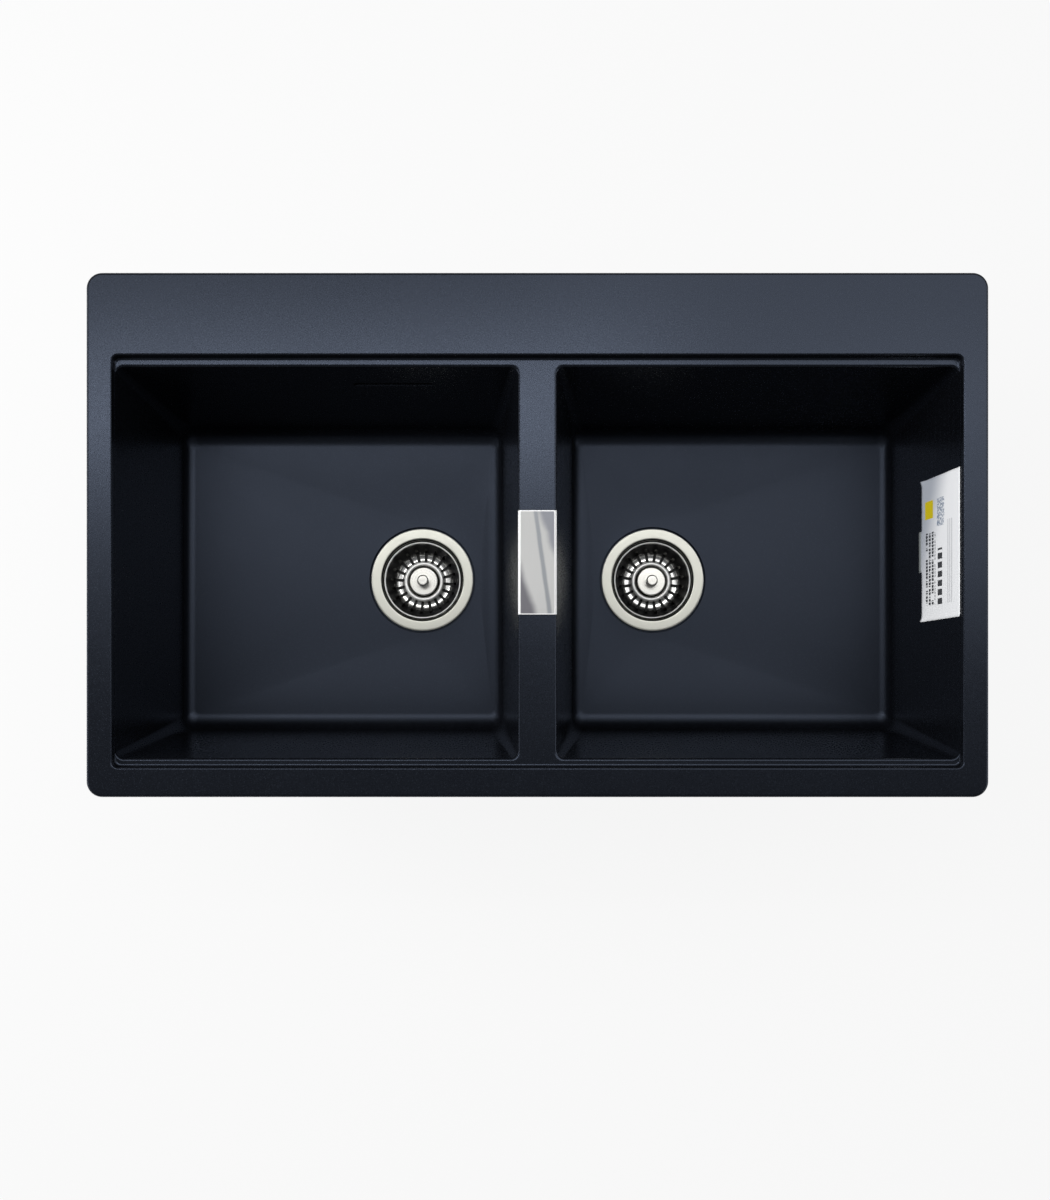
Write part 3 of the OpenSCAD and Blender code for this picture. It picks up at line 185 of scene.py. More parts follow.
class SinkFinishes(bpy.types.PropertyGroup):
    granite: colour("Granite", (0.0022, 0.0024, 0.0032), "Ground colour of the granite")
    granite_fleck: colour("Granite flecks", (0.022, 0.027, 0.037), "Colour of the pale grains")
    granite_gloss: share("Granite roughness", 0.275, "Roughness of the granite's smooth side")
    steel: colour("Satin steel", (0.70, 0.70, 0.63), "Colour of the flanges")
    basket_steel: colour("Basket steel", (0.88, 0.88, 0.86), "Colour of the baskets")
    knob_steel: colour("Knob steel", (0.86, 0.85, 0.80), "Colour of the knobs")
    plate_steel: colour("Plate steel", (0.78, 0.78, 0.77), "Colour of the plate on the divider")
    zinc: colour("Zinc", (0.56, 0.58, 0.62), "Colour of the plated clips and clamps")
    black_plastic: colour("Black plastic", (0.016, 0.016, 0.017), "Colour of the moulded wastes")
    hose_plastic: colour("Hose plastic", (0.27, 0.28, 0.29), "Colour of the ribbed hose")
    paper: colour("Paper", (0.93, 0.94, 0.96), "Colour of the label's card")


class SinkStage(bpy.types.PropertyGroup):
    key_power: power("Window lamp", 14.2, "Power of the broad lamp over the back")
    left_share: share("Window left share", 0.30, "Share of the window lamp's power in its left half")
    strip_power: power("Strip lamp", 4.9, "Power of the narrow lamp at the left")
    side_power: power("Side lamp", 36, "Power of the soft lamp at the left")
    edge_power: power("Edge lamps", 2.8, "Power of each low lamp at the sides")
    sky: share("Sky", 0.135, "Strength of the even light all round")
    lens: FloatProperty(name="Lens", description="Focal length of the camera", default=0.04166,
                        unit="CAMERA")
    height: size("Camera height", 1332, "Height of the camera over the worktop")
    forward: place("Camera place", -161, "Place of the camera, front to back")
    shift_x: FloatProperty(name="Shift across", description="Sideways shift of the lens", default=-0.01035)
    shift_y: FloatProperty(name="Shift along", description="Upward shift of the lens", default=0.0865)
    show_floor: BoolProperty(name="Floor", description="Put a pale floor under the sink", default=True)


GROUPS = {"casting": SinkCasting, "strainer": SinkStrainer, "plate": SinkPlate,
          "fittings": SinkFittings, "finishes": SinkFinishes, "stage": SinkStage}
FINISHES = {}


def settings(name):
    return getattr(bpy.context.scene, "sink_" + name)


def mm(value):
    return round(value * 1000, 4)


# Places, in millimetres

def bowl_bounds(c):
    """The right bowl's top outline: its low and high X, and its low and high Y."""
    x0, x1 = mm(c.divider_w) / 2, mm(c.rim_w) / 2 - mm(c.side_rim) - mm(c.side_step)
    y0 = mm(c.front_rim) - mm(c.rim_d) / 2 + mm(c.front_ledge)
    return x0, x1, y0, mm(c.rim_d) / 2 - mm(c.tap_ledge) - mm(c.back_ledge)


def drain(side=1):
    """The middle of a drain, at the lowest level of the bowl's floor."""
    c = settings("casting")
    x = mm(c.divider_w) / 2 + mm(c.drain_inset)
    return side * x, mm(c.drain_y), -mm(c.bowl_depth) - mm(c.floor_fall)


def skirt_size(c):
    """Half the width and half the depth of the skirt under the rim."""
    lap = mm(c.rim_lap)
    return mm(c.rim_w) / 2 - lap - mm(c.skirt_side), mm(c.rim_d) / 2 - lap - mm(c.skirt_end)


def overflow_spot():
    """The middle of the overflow's slot, on the back of the pad round it."""
    f = settings("fittings")
    return drain(-1)[0] - mm(f.overflow_shift), bowl_bounds(settings("casting"))[3] + 10, -mm(f.overflow_drop)


def clip_places():
    """Each clip's name, side and X, and a matrix that stands it on the skirt's face with Z outwards."""
    pitch, reach = mm(settings("fittings").clip_pitch), skirt_size(settings("casting"))[1]
    for side, row in ((1, "back"), (-1, "front")):
        for i in range(4):
            x = (i - 1.5) * pitch
            spot = Matrix.Translation((x, side * reach, -20)) @ Matrix.Rotation(math.radians(-90 * side), 4, "X")
            yield f"{row}_clip_{i + 1}", side, x, spot


# Shapes: (points in millimetres, faces)

def arc(cx, cy, r, start, end, steps):
    """Points on an arc in a plane, from one angle to another in degrees."""
    turns = [math.radians(start + (end - start) * i / steps) for i in range(steps + 1)]
    return [(cx + r * math.cos(a), cy + r * math.sin(a)) for a in turns]


def ring(x0, x1, y0, y1, r, z, steps=12):
    """A rectangle with round corners at one height, anticlockwise from above."""
    corners = ((x1 - r, y1 - r, 0), (x0 + r, y1 - r, 90), (x0 + r, y0 + r, 180), (x1 - r, y0 + r, 270))
    return [(x, y, z) for cx, cy, turn in corners for x, y in arc(cx, cy, r, turn, turn + 90, steps)]


def circle(cx, cy, r, z, steps=48):
    return [(x, y, z) for x, y in arc(cx, cy, r, 0, 360, steps)[:-1]]


def loft(rings, closed=False):
    """A skin through rings of points, capped at both ends, or joined end to end."""
    m, n = len(rings[0]), len(rings)
    faces = []
    for k in range(n if closed else n - 1):
        a, b = k * m, (k + 1) % n * m
        faces += [(a + i, a + (i + 1) % m, b + (i + 1) % m, b + i) for i in range(m)]
    if not closed:
        faces += [tuple(range(m))[::-1], tuple(range((n - 1) * m, n * m))]
    return [p for one in rings for p in one], faces


def lathe(profile, steps=96, start=0, turn=360):
    """A closed outline of (radius, height) turned about Z, all the way or through part of a turn."""
    whole = turn == 360
    rings = []
    for i in range(steps if whole else steps + 1):
        a = math.radians(start + turn * i / steps)
        rings.append([(r * math.cos(a), r * math.sin(a), z) for r, z in profile])
    return loft(rings, closed=whole)


def extrude(outline, y0, y1):
    """A closed outline of (x, z) drawn out along Y."""
    return loft([[(x, y0, z) for x, z in outline], [(x, y1, z) for x, z in outline]])


def foot_round(r, steps=6):
    """Insets and heights up the round at the foot of a wall."""
    turns = [math.radians(90 * i / steps) for i in range(steps + 1)]
    return [(r * (1 - math.sin(a)), r * (1 - math.cos(a))) for a in turns]


def top_round(r, steps=6):
    """Insets and heights up the round at the top of a wall, which ends at height 0."""
    turns = [math.radians(90 * i / steps) for i in range(steps + 1)]
    return [(r * (1 - math.cos(a)), -r * (1 - math.sin(a))) for a in turns]


def block(x0, x1, y0, y1, z0, z1, r=0.8, steps=3):
    """A block with all its edges rounded."""
    rings = [(inset, z0 + up) for inset, up in foot_round(r, steps)]
    rings += [(inset, z1 + z0 - z) for inset, z in reversed(rings)]
    return loft([ring(x0 + i, x1 - i, y0 + i, y1 - i, max(r - i, 0.02), z, steps) for i, z in rings])


def slab(x, y0, y1, r, z0, z1, bevel=1.5):
    """A flat slab with round corners and a small round along its lower edge."""
    foot = [(inset, z0 + up) for inset, up in foot_round(bevel, 2)]
    return loft([ring(-x + i, x - i, y0 + i, y1 - i, r - i, z, 10) for i, z in foot + [(0, z1)]])


def capsule(length, width, z0, z1, steps=8):
    """A prism with round ends, its length along X, standing on Z."""
    x, r = (length - width) / 2, width / 2
    flat = arc(x, 0, r, -90, 90, steps) + arc(-x, 0, r, 90, 270, steps)
    return loft([[(a, b, z) for a, b in flat] for z in (z0, z1)])


def cylinder(r, z0, z1, steps=48, bevel=0):
    if not bevel:
        return loft([circle(0, 0, r, z0, steps), circle(0, 0, r, z1, steps)])
    levels = [(r - bevel, z0), (r, z0 + bevel), (r, z1 - bevel), (r - bevel, z1)]
    return loft([circle(0, 0, one, z, steps) for one, z in levels])


def eased(line):
    """The same line with its corners cut twice and its ends kept."""
    for _ in range(2):
        cut = [line[0]]
        for (ax, ay), (bx, by) in zip(line, line[1:]):
            cut += [(0.75 * ax + 0.25 * bx, 0.75 * ay + 0.25 * by),
                    (0.25 * ax + 0.75 * bx, 0.25 * ay + 0.75 * by)]
        line = cut + [line[-1]]
    return line


def rounded(outline, r=0.3, steps=3):
    """A closed outline with each corner turned into a small curve."""
    shaped = []
    n = len(outline)
    for i, here in enumerate(outline):
        p = Vector(here)
        back, on = Vector(outline[i - 1]) - p, Vector(outline[(i + 1) % n]) - p
        reach = min(r, back.length * 0.45, on.length * 0.45)
        a, b = p + back.normalized() * reach, p + on.normalized() * reach
        for k in range(steps + 1):
            t = k / steps
            shaped.append(tuple(a * (1 - t) ** 2 + p * 2 * t * (1 - t) + b * t ** 2))
    return shaped


def sheet(line, thickness):
    """The closed outline of a metal sheet whose upper face follows a line of (radius, height)."""
    under = []
    for i, (x, y) in enumerate(line):
        ax, ay = line[max(i - 1, 0)]
        bx, by = line[min(i + 1, len(line) - 1)]
        part = thickness / math.hypot(bx - ax, by - ay)
        under.append((x - part * (by - ay), y - part * (ax - bx)))
    return list(line) + under[::-1]


def placed(shape, matrix):
    points, faces = shape
    return [tuple(matrix @ Vector(p)) for p in points], faces


def moved(shape, x, y, z):
    return placed(shape, Matrix.Translation((x, y, z)))


def turned(shape, degrees, axis="Z"):
    return placed(shape, Matrix.Rotation(math.radians(degrees), 4, axis))


def mirrored(shape):
    points, faces = shape
    return [(-x, y, z) for x, y, z in points], faces


def joined(shapes):
    points, faces = [], []
    for more, sides in shapes:
        start = len(points)
        points += more
        faces += [tuple(start + i for i in side) for side in sides]
    return points, faces


def cross(r, half, z0, z1):
    """The two slots of a cross in a screw's head."""
    return [block(-r, r, -half, half, z0, z1, 0.15), block(-half, half, -r, r, z0, z1, 0.15)]


def skin(shape, mark=0):
    """A mesh in metres from a shape, with its faces turned outwards."""
    points, faces = shape
    made = bpy.data.meshes.new("shape")
    made.from_pydata([Vector(p) / 1000 for p in points], [], faces)
    work = bmesh.new()
    work.from_mesh(made)
    bmesh.ops.remove_doubles(work, verts=work.verts, dist=1e-6)
    bmesh.ops.recalc_face_normals(work, faces=work.faces)
    for face in work.faces:
        face.material_index = mark
        face.smooth = True
    work.to_mesh(made)
    work.free()
    return made


def carved(solid, adds=(), cuts=(), finishes=()):
    """A mesh of one shape with others added and others cut out. A shape may come with its finish's number."""
    helpers = []

    def helper(shape):
        shape, mark = shape if isinstance(shape[1], int) else (shape, 0)
        made = bpy.data.objects.new("helper", skin(shape, mark))
        for finish in finishes:
            made.data.materials.append(finish)
        bpy.context.scene.collection.objects.link(made)
        helpers.append(made)
        return made

    base = helper(solid)
    for operation, shapes in (("UNION", adds), ("DIFFERENCE", cuts)):
        for shape in shapes:
            step = base.modifiers.new("step", "BOOLEAN")
            step.operation = operation
            step.solver = "MANIFOLD"
            step.object = helper(shape)
    settled = base.evaluated_get(bpy.context.evaluated_depsgraph_get())
    made = bpy.data.meshes.new_from_object(settled)
    for one in helpers:
        old = one.data
        bpy.data.objects.remove(one)
        bpy.data.meshes.remove(old)
    if not made.polygons:
        raise RuntimeError("a carved shape came out empty")
    return made


def shape_of(made):
    """The shape of a mesh, which is then removed."""
    shape = [tuple(v.co * 1000) for v in made.vertices], [tuple(p.vertices) for p in made.polygons]
    bpy.data.meshes.remove(made)
    return shape


def moved_mesh(made, spot, turn=0):
    """A mesh moved to a place in millimetres, after a turn about Z."""
    made.transform(Matrix.Translation([v / 1000 for v in spot]) @ Matrix.Rotation(turn, 4, "Z"))
    return made


def at_drain(shape, side):
    return moved(shape, *drain(side))


def piece(name, shape, body, slot, nodes, sharp=32, flat_first=True, more=()):
    """A finished piece: its mesh, its materials, the body it rides on and the nodes it stands for."""
    if slot not in FINISHES:
        raise RuntimeError("the finishes are made before the pieces")
    made = skin(shape) if isinstance(shape, tuple) else shape
    made.name = name
    made.materials.clear()
    for finish in (slot, *more):
        made.materials.append(FINISHES[finish])
    for face in made.polygons:
        face.use_smooth = True
    made.set_sharp_from_angle(angle=math.radians(sharp))
    item = bpy.data.objects.new(name, made)
    bpy.context.scene.collection.objects.link(item)
    if flat_first:
        shading = item.modifiers.new("flat faces first", "WEIGHTED_NORMAL")
        shading.keep_sharp = True
        shading.weight = 80
    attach(item, body)
    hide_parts(*nodes)
    return item


def broken_edges(item):
    """Take the sharpness off the cut edges of a piece of sheet."""
    edge = item.modifiers.new("broken edges", "BEVEL")
    edge.width, edge.segments, edge.limit_method, edge.angle_limit = 0.0002, 2, "ANGLE", math.radians(50)
    item.modifiers.new("flat faces first", "WEIGHTED_NORMAL").keep_sharp = True


# Materials

class Value:
    """An output in a material. Sums on it add Math nodes."""

    def __init__(self, finish, socket):
        self.finish = finish
        self.socket = socket

    def maths(self, operation, *values):
        return self.finish.node("Math", {"operation": operation}, dict(enumerate(values)))

    def __add__(self, other):
        return self.maths("ADD", self, other)

    def __sub__(self, other):
        return self.maths("SUBTRACT", self, other)

    def __rsub__(self, other):
        return self.maths("SUBTRACT", other, self)

    def __mul__(self, other):
        return self.maths("MULTIPLY", self, other)

    def __truediv__(self, other):
        return self.maths("DIVIDE", self, other)

    def __pow__(self, other):
        return self.maths("POWER", self, other)

    def __gt__(self, other):
        return self.maths("GREATER_THAN", self, other)

    def __lt__(self, other):
        return self.maths("LESS_THAN", self, other)

    def __abs__(self):
        return self.maths("ABSOLUTE", self)

    __radd__ = __add__
    __rmul__ = __mul__


class Finish:
    """The nodes of one material, or of the world. Places in it are in millimetres."""

    def __init__(self, owner):
        self.owner = bpy.data.materials.new(owner) if isinstance(owner, str) else owner
        self.owner.use_nodes = True
        self.tree = self.owner.node_tree
        self.tree.nodes.clear()

    def node(self, kind, choices=None, inputs=None, out=0):
        made = self.tree.nodes.new("ShaderNode" + kind)
        for key, value in (choices or {}).items():
            setattr(made, key, value)
        for key, value in (inputs or {}).items():
            if isinstance(value, Value):
                self.tree.links.new(value.socket, made.inputs[key])
            else:
                made.inputs[key].default_value = value
        return Value(self, made.outputs[out])

    def place(self):
        spot = self.node("TexCoord", out="Object")
        return self.node("VectorMath", {"operation": "SCALE"}, {0: spot, "Scale": 1000.0})

    def along(self, spot, axis):
        return self.node("SeparateXYZ", {}, {0: spot}, axis)

    def spots(self):
        """The place, and its X, Y and Z."""
        spot = self.place()
        return (spot, *(self.along(spot, i) for i in range(3)))

    def vector(self, x, y, z):
        return self.node("CombineXYZ", {}, {0: x, 1: y, 2: z})

    def noise(self, spot, scale, detail=2.0, roughness=0.5):
        return self.node("TexNoise", {}, {"Vector": spot, "Scale": scale, "Detail": detail, "Roughness": roughness})

    def cells(self, spot, scale, out="Distance"):
        return self.node("TexVoronoi", {}, {"Vector": spot, "Scale": scale}, out)

    def steps(self, value, low, high):
        """0 below one value, 1 above another, smooth between them."""
        return self.node("MapRange", {"interpolation_type": "SMOOTHSTEP"},
                         {"Value": value, "From Min": low, "From Max": high})

    def blend(self, factor, a, b):
        a, b = ((*c, 1.0) if isinstance(c, tuple) else c for c in (a, b))
        return self.node("Mix", {"data_type": "RGBA"}, {0: factor, 6: a, 7: b}, 2)

    def bump(self, height, strength, depth):
        """A normal from heights between 0 and 1 that stand for a depth in millimetres."""
        return self.node("Bump", {}, {"Height": height, "Strength": strength, "Distance": depth / 1000})

    def surface(self, painted_shade=None, **sockets):
        """Finish with one surface, and with dull black laid over it as painted shade where painted_shade asks for it.
        """
        inputs = {key.replace("_", " "): value for key, value in sockets.items()}
        shader = self.node("BsdfPrincipled", {}, inputs)
        if painted_shade:
            # Painted shade: a dull black diffuse laid over the surface, not a real deposit.
            painted_black = self.node("BsdfDiffuse", {}, {"Color": (0.012, 0.012, 0.013, 1)})
            shader = self.node("MixShader", {}, {0: painted_shade, 1: shader, 2: painted_black})
        return self.end(shader)

    def end(self, shader, kind="OutputMaterial"):
        out = self.tree.nodes.new("ShaderNode" + kind)
        self.tree.links.new(shader.socket, out.inputs["Surface"])
        return self.owner


def scaled(shade, factor=1):
    return tuple(min(1.0, c * factor) for c in shade)


def from_drain(x, y):
    """The distance from the nearer drain's axis."""
    drain_x, drain_y, _ = drain()
    dx, dy = abs(x) - drain_x, y - drain_y
    return (dx * dx + dy * dy) ** 0.5


def granite(name, rough_side=False):
    """Fine composite stone: dark ground, pale grains in two sizes, and a slight tooth to the touch."""
    s, floor = settings("finishes"), -mm(settings("casting").bowl_depth)
    finish = Finish(name)
    spot = finish.place()
    cloud = finish.noise(spot, 0.012, 3.0)
    mottle = finish.noise(spot, 0.55, 3.0, 0.65)
    pick = finish.along(finish.cells(spot, 0.85, out="Color"), 0)
    grains = finish.steps(pick, 0.80, 0.86) * (1 - finish.steps(finish.cells(spot, 0.85), 0.22, 0.40))
    dust = finish.steps(finish.along(finish.cells(spot, 1.9, out="Color"), 1), 0.82, 0.90)
    base = finish.blend(mottle, scaled(s.granite, 0.70), scaled(s.granite, 1.30))
    base = finish.blend(cloud * 0.35, base, scaled(s.granite, 1.25))
    base = finish.blend(dust * 0.22, base, scaled(s.granite_fleck, 0.8))
    base = finish.blend(grains * 0.5, base, scaled(s.granite_fleck))
    height = finish.noise(spot, 1.6, 2.0, 0.6) * 0.7 + finish.noise(spot, 0.25, 2.0) * 0.3
    if rough_side:
        swirl = finish.noise(spot, 0.06, 4.0, 0.6)
        base = finish.blend(swirl * 0.5, base, scaled(s.granite, 2.2))
        return finish.surface(Base_Color=base, Roughness=0.62 + (mottle - 0.5) * 0.2,
                              Normal=finish.bump(height * 0.6 + swirl * 0.4, 0.35, 0.6))
    low = 1 - finish.steps(finish.along(spot, 2), floor, floor + 14)
    rough = s.granite_gloss + (mottle - 0.5) * 0.12 + (cloud - 0.5) * 0.06 + low * 0.14
    return finish.surface(Base_Color=base, Roughness=rough, Specular_IOR_Level=0.62,
                          Specular_Tint=(0.61, 0.73, 1.0, 1.0), Normal=finish.bump(height, 0.10, 0.12))


def metal(name, shade, roughness, fine=5.0, marks=0.5, lip=0):
    """Steel or brass with the fine lines of turning about the drain, and a few faint marks of use.

    Inside the radius lip its colour is darkened as painted shade in the cup's mouth, and it is smoother.
    """
    finish = Finish(name)
    spot, x, y, z = finish.spots()
    radius = from_drain(x, y)
    lines = finish.noise(finish.vector(radius * fine, z * fine, 0.0), 1.0, 3.0, 0.6)
    blotch = finish.noise(spot, 0.09, 3.0, 0.6)
    rubbed = finish.vector(x * 0.9 + y * 0.5, y * 0.05 - x * 0.03, z)
    scuffs = finish.steps(finish.noise(rubbed, 1.0, 4.0, 0.7), 0.60, 0.72)
    base = finish.blend(lines, scaled(shade, 0.90), scaled(shade, 1.05))
    base = finish.blend(blotch * 0.25, base, scaled(shade, 0.85))
    rough = roughness + (lines - 0.5) * 0.14 + blotch * 0.06 + scuffs * 0.10
    if lip:
        # Painted shade in the cup's mouth: the colour inside the lip is darkened.
        inside = 1 - finish.steps(radius, lip, lip + 1.4)
        base = finish.blend(inside * 0.85, base, scaled(shade, 0.10))
        rough = rough - inside * 0.16
    return finish.surface(Base_Color=base, Metallic=1.0, Roughness=rough,
                          Normal=finish.bump(lines, marks, 0.015))


def pressed(name, shade):
    """Bright pressed steel whose steep wall, between the slots and the rim, is painted near black as shade and dark
    reflection, and whose middle is painted dark as the shade of the groove round the knob.
    """
    finish = Finish(name)
    spot, x, y, z = finish.spots()
    radius = from_drain(x, y)
    lines = finish.noise(finish.vector(radius * 5.0, z * 5.0, 0.0), 1.0, 3.0, 0.6)
    blotch = finish.noise(spot, 0.35, 3.0, 0.6)
    # Painted shade and dark reflection on the steep wall: its colour is darkened here, and dull black is laid over it
    # below.
    painted_shade = finish.steps(radius + (blotch - 0.5) * 6.0, 28.0, 33.5) * (1 - finish.steps(radius, 39.8, 40.6))
    base = finish.blend(lines, scaled(shade, 0.92), scaled(shade, 1.05))
    base = finish.blend(painted_shade * 0.97, base, scaled(shade, 0.04))
    # Painted shade in the groove round the knob's disc: the steel inside the raised ring is darkened.
    base = finish.blend((1 - finish.steps(radius, 16.3, 17.1)) * 0.9, base, scaled(shade, 0.06))
    crown = finish.steps(radius, 17.0, 17.8) * (1 - finish.steps(radius, 22.8, 24.2))
    crown = crown + finish.steps(radius, 40.2, 40.8)
    return finish.surface(Base_Color=base, Metallic=1 - crown * 0.30, painted_shade=painted_shade * 0.75,
                          Roughness=0.13 + lines * 0.06 + painted_shade * 0.12 + crown * 0.20,
                          Normal=finish.bump(lines, 0.3, 0.015))


def zinc(name, shade):
    """Bright zinc on pressed steel, with its faint spangle and duller patches."""
    finish = Finish(name)
    spot = finish.place()
    flakes = finish.along(finish.cells(spot, 0.45, out="Color"), 0)
    patches = finish.noise(spot, 0.12, 4.0, 0.6)
    base = finish.blend(flakes, scaled(shade, 0.85), scaled(shade, 1.12))
    base = finish.blend(finish.steps(patches, 0.45, 0.75) * 0.4, base, (0.558, 0.54, 0.495))
    return finish.surface(Base_Color=base, Metallic=1.0, Roughness=0.30 + flakes * 0.10 + patches * 0.12,
                          Normal=finish.bump(finish.noise(spot, 1.2, 3.0), 0.15, 0.05))


def moulded(name, shade, roughness, grain=0.9, depth=0.05):
    """Moulded plastic or rubber: an even colour with flow marks and a fine eroded grain."""
    finish = Finish(name)
    spot = finish.place()
    flow = finish.noise(spot, 0.05, 3.0, 0.5)
    pits = finish.noise(spot, grain, 2.0, 0.6)
    base = finish.blend(flow, scaled(shade, 0.88), scaled(shade, 1.24))
    base = finish.blend(finish.steps(pits, 0.55, 0.8) * 0.3, base, scaled(shade, 1.5))
    return finish.surface(Base_Color=base, Roughness=roughness + (pits - 0.5) * 0.12 + (flow - 0.5) * 0.1,
                          Normal=finish.bump(pits, 0.30, depth))


def polished(name, shade):
    """Bright rolled steel with hairlines along it, and painted reflections: a darker front, dark patches, soft grey
    streaks and painted highlights along its bent edges and ends.
    """
    s = settings("plate")
    finish = Finish(name)
    spot, x, y, z = finish.spots()
    # The warp bends the painted reflections below.
    reflection_warp = (finish.noise(spot, 0.05, 2.0) - 0.5) * 8.0
    hairs = finish.noise(finish.vector(x * 3.0, y * 0.03, z * 3.0), 1.0, 3.0, 0.6)
    # Painted reflection: the plate is lighter at its front and darker towards its back.
    base = finish.blend(finish.steps(y, -70.0, 30.0), scaled(shade, 0.70), scaled(shade, 0.56))
    # Painted reflection: a dark patch towards one corner.
    corner = finish.steps(0.0 - y * 0.5 - x * 1.6 + reflection_warp, 33.0, 47.0)
    base = finish.blend(corner * 0.85, base, (0.07, 0.065, 0.09))
    # Painted reflection: a soft grey streak along the plate.
    painted_streak = 1 - finish.steps(abs(x - 1.5 + y * 0.14 + reflection_warp * 0.15), 0.8, 3.2)
    base = finish.blend(painted_streak * 0.7, base, (0.16, 0.18, 0.21))
    # Painted reflection: darker towards the far side.
    far = finish.steps(x + y * 0.35 + reflection_warp, 6.0, 14.0)
    base = finish.blend(far * 0.75, base, (0.13, 0.14, 0.18))
    base = finish.blend(hairs * 0.2, base, scaled(shade, 0.5))
    end = mm(s.plate_l) / 2
    # Painted highlights along the bent side edges and the cut ends.
    painted_edge_highlights = finish.steps(abs(x), 15.7, 16.7) + finish.steps(abs(y - mm(s.plate_y)), end - 1.3, end - 0.7)
    base = finish.blend(painted_edge_highlights, base, (0.95, 0.95, 0.95))
    return finish.surface(Base_Color=base, Metallic=0.55, Roughness=0.34 + hairs * 0.08,
                          Normal=finish.bump(hairs, 0.2, 0.01))


def card(name, shade):
    """Coated card with faint fibres, with painted shade greying it towards its foot and on its tab, and plain blocks
    where printing would be.
    """
    finish = Finish(name)
    spot = finish.place()
    y, z = finish.along(spot, 1), finish.along(spot, 2)

    def patch(y0, y1, z0, z1):
        """1 inside a block of the card, 0 outside it."""
        return (y > y0) * (y < y1) * (z > z0) * (z < z1)

    def parts(value, pitch, low, high):
        """1 in the same part of every pitch."""
        part = finish.node("Math", {"operation": "FRACT"}, {0: value / pitch + 50.0})
        return (part > low) * (part < high)

    fibres = finish.noise(spot, 1.1, 4.0, 0.65)
    base = finish.blend(fibres, scaled(shade, 0.97), scaled(shade))
    # Painted shade: the card greys towards its foot and its back end.
    base = finish.blend((1 - finish.steps(z - y * 0.45, -100.0, -45.0)) * 0.9, base, (0.36, 0.39, 0.45))
    # Painted shade on the tab below the card.
    base = finish.blend(1 - finish.steps(z, -96.0, -93.5), base, (0.36, 0.39, 0.39))
    row = finish.node("Math", {"operation": "FLOOR"}, {0: z / 7.5 + 50.0})
    words = finish.steps(finish.noise(finish.vector(y * 0.22, row * 7.3, 0.0), 1.0, 0.0), 0.36, 0.40)
    rows = patch(-62.0, 12.0, -84.0, -58.0) * parts(z, 7.5, 0.05, 0.70) * words * parts(y, 3.4, 0.0, 0.78)
    heads = patch(-62.0, -6.0, -52.0, -41.0) * parts(y, 9.0, 0.10, 0.78)
    base = finish.blend((rows + heads) * 0.95, base, (0.012, 0.014, 0.018))
    rules = patch(-62.0, 20.0, -28.0, -14.0) * parts(z, 4.6, 0.0, 0.28)
    base = finish.blend(rules * 0.55, base, (0.05, 0.06, 0.08))
    mark = finish.steps(finish.noise(spot, 0.5, 3.0), 0.42, 0.56) * patch(16.0, 44.0, -54.0, -36.0)
    base = finish.blend(mark * 0.8, base, (0.10, 0.16, 0.26))
    base = finish.blend(patch(26.0, 44.0, -84.0, -64.0), base, (0.62, 0.50, 0.01))
    return finish.surface(Base_Color=base, Roughness=0.42 + (fibres - 0.5) * 0.15,
                          Normal=finish.bump(fibres, 0.12, 0.05))


def foam(name, shade):
    """Closed-cell foam tape."""
    finish = Finish(name)
    spot = finish.place()
    pores = finish.cells(spot, 1.4)
    base = finish.blend(pores, scaled(shade, 0.6), scaled(shade, 1.7))
    return finish.surface(Base_Color=base, Roughness=0.92, Normal=finish.bump(pores, 0.8, 0.3))


class SINK_OT_finishes(bpy.types.Operator):
    """Make the finishes of the stone, the metals, the plastics, the rubber and the card"""
    bl_idname = "sink.finishes"
    bl_label = "Finishes"

    def execute(self, context):
        s = settings("finishes")
        FINISHES.update(
            granite=granite("granite face"),
            granite_back=granite("granite underside", rough_side=True),
            satin_steel=metal("satin steel", s.steel, 0.36, lip=44.6),
            basket_steel=pressed("basket steel", s.basket_steel),
            knob_steel=metal("turned knob steel", s.knob_steel, 0.26, fine=7.0, marks=0.7),
            screw_steel=metal("screw steel", (0.58, 0.58, 0.58), 0.30, fine=4.0),
            polished_steel=polished("polished plate steel", s.plate_steel),
            zinc_steel=zinc("zinc plated steel", s.zinc),
            brass=metal("turned brass", (0.66, 0.48, 0.20), 0.28),
            black_plastic=moulded("black waste plastic", s.black_plastic, 0.46),
            grey_plastic=moulded("grey hose plastic", s.hose_plastic, 0.50, grain=0.5),
            white_plastic=moulded("white dowel plastic", (0.72, 0.72, 0.70), 0.45),
            black_rubber=moulded("black seal rubber", (0.014, 0.014, 0.014), 0.68, grain=1.6, depth=0.08),
            foam=foam("foam tape", (0.018, 0.018, 0.018)),
            tape=moulded("adhesive pad", (0.74, 0.74, 0.70), 0.60, grain=0.7),
            paper=card("label card", s.paper),
        )
        return {"FINISHED"}


# The casting

def wall_inset(z, foot, slope, fillet):
    """How far a sloping wall, or the fillet at its foot, lies inside the bowl's top outline."""
    touch = foot + fillet * (1 - math.sin(slope))
    if z >= touch:
        return -z * math.tan(slope)
    return -touch * math.tan(slope) + fillet * math.cos(slope) - math.sqrt(fillet ** 2 - (foot + fillet - z) ** 2)


def bowl_level(c, z, foot, side_fillet, end_fillet, grow, r, steps):
    """The bowl's outline at one height."""
    x0, x1, y0, y1 = bowl_bounds(c)
    x = wall_inset(z, foot, c.side_draft, side_fillet) - grow
    y = wall_inset(z, foot, c.bowl_draft, end_fillet) - grow
    return ring(x0 + x, x1 - x, y0 + y, y1 - y, r, z, steps)


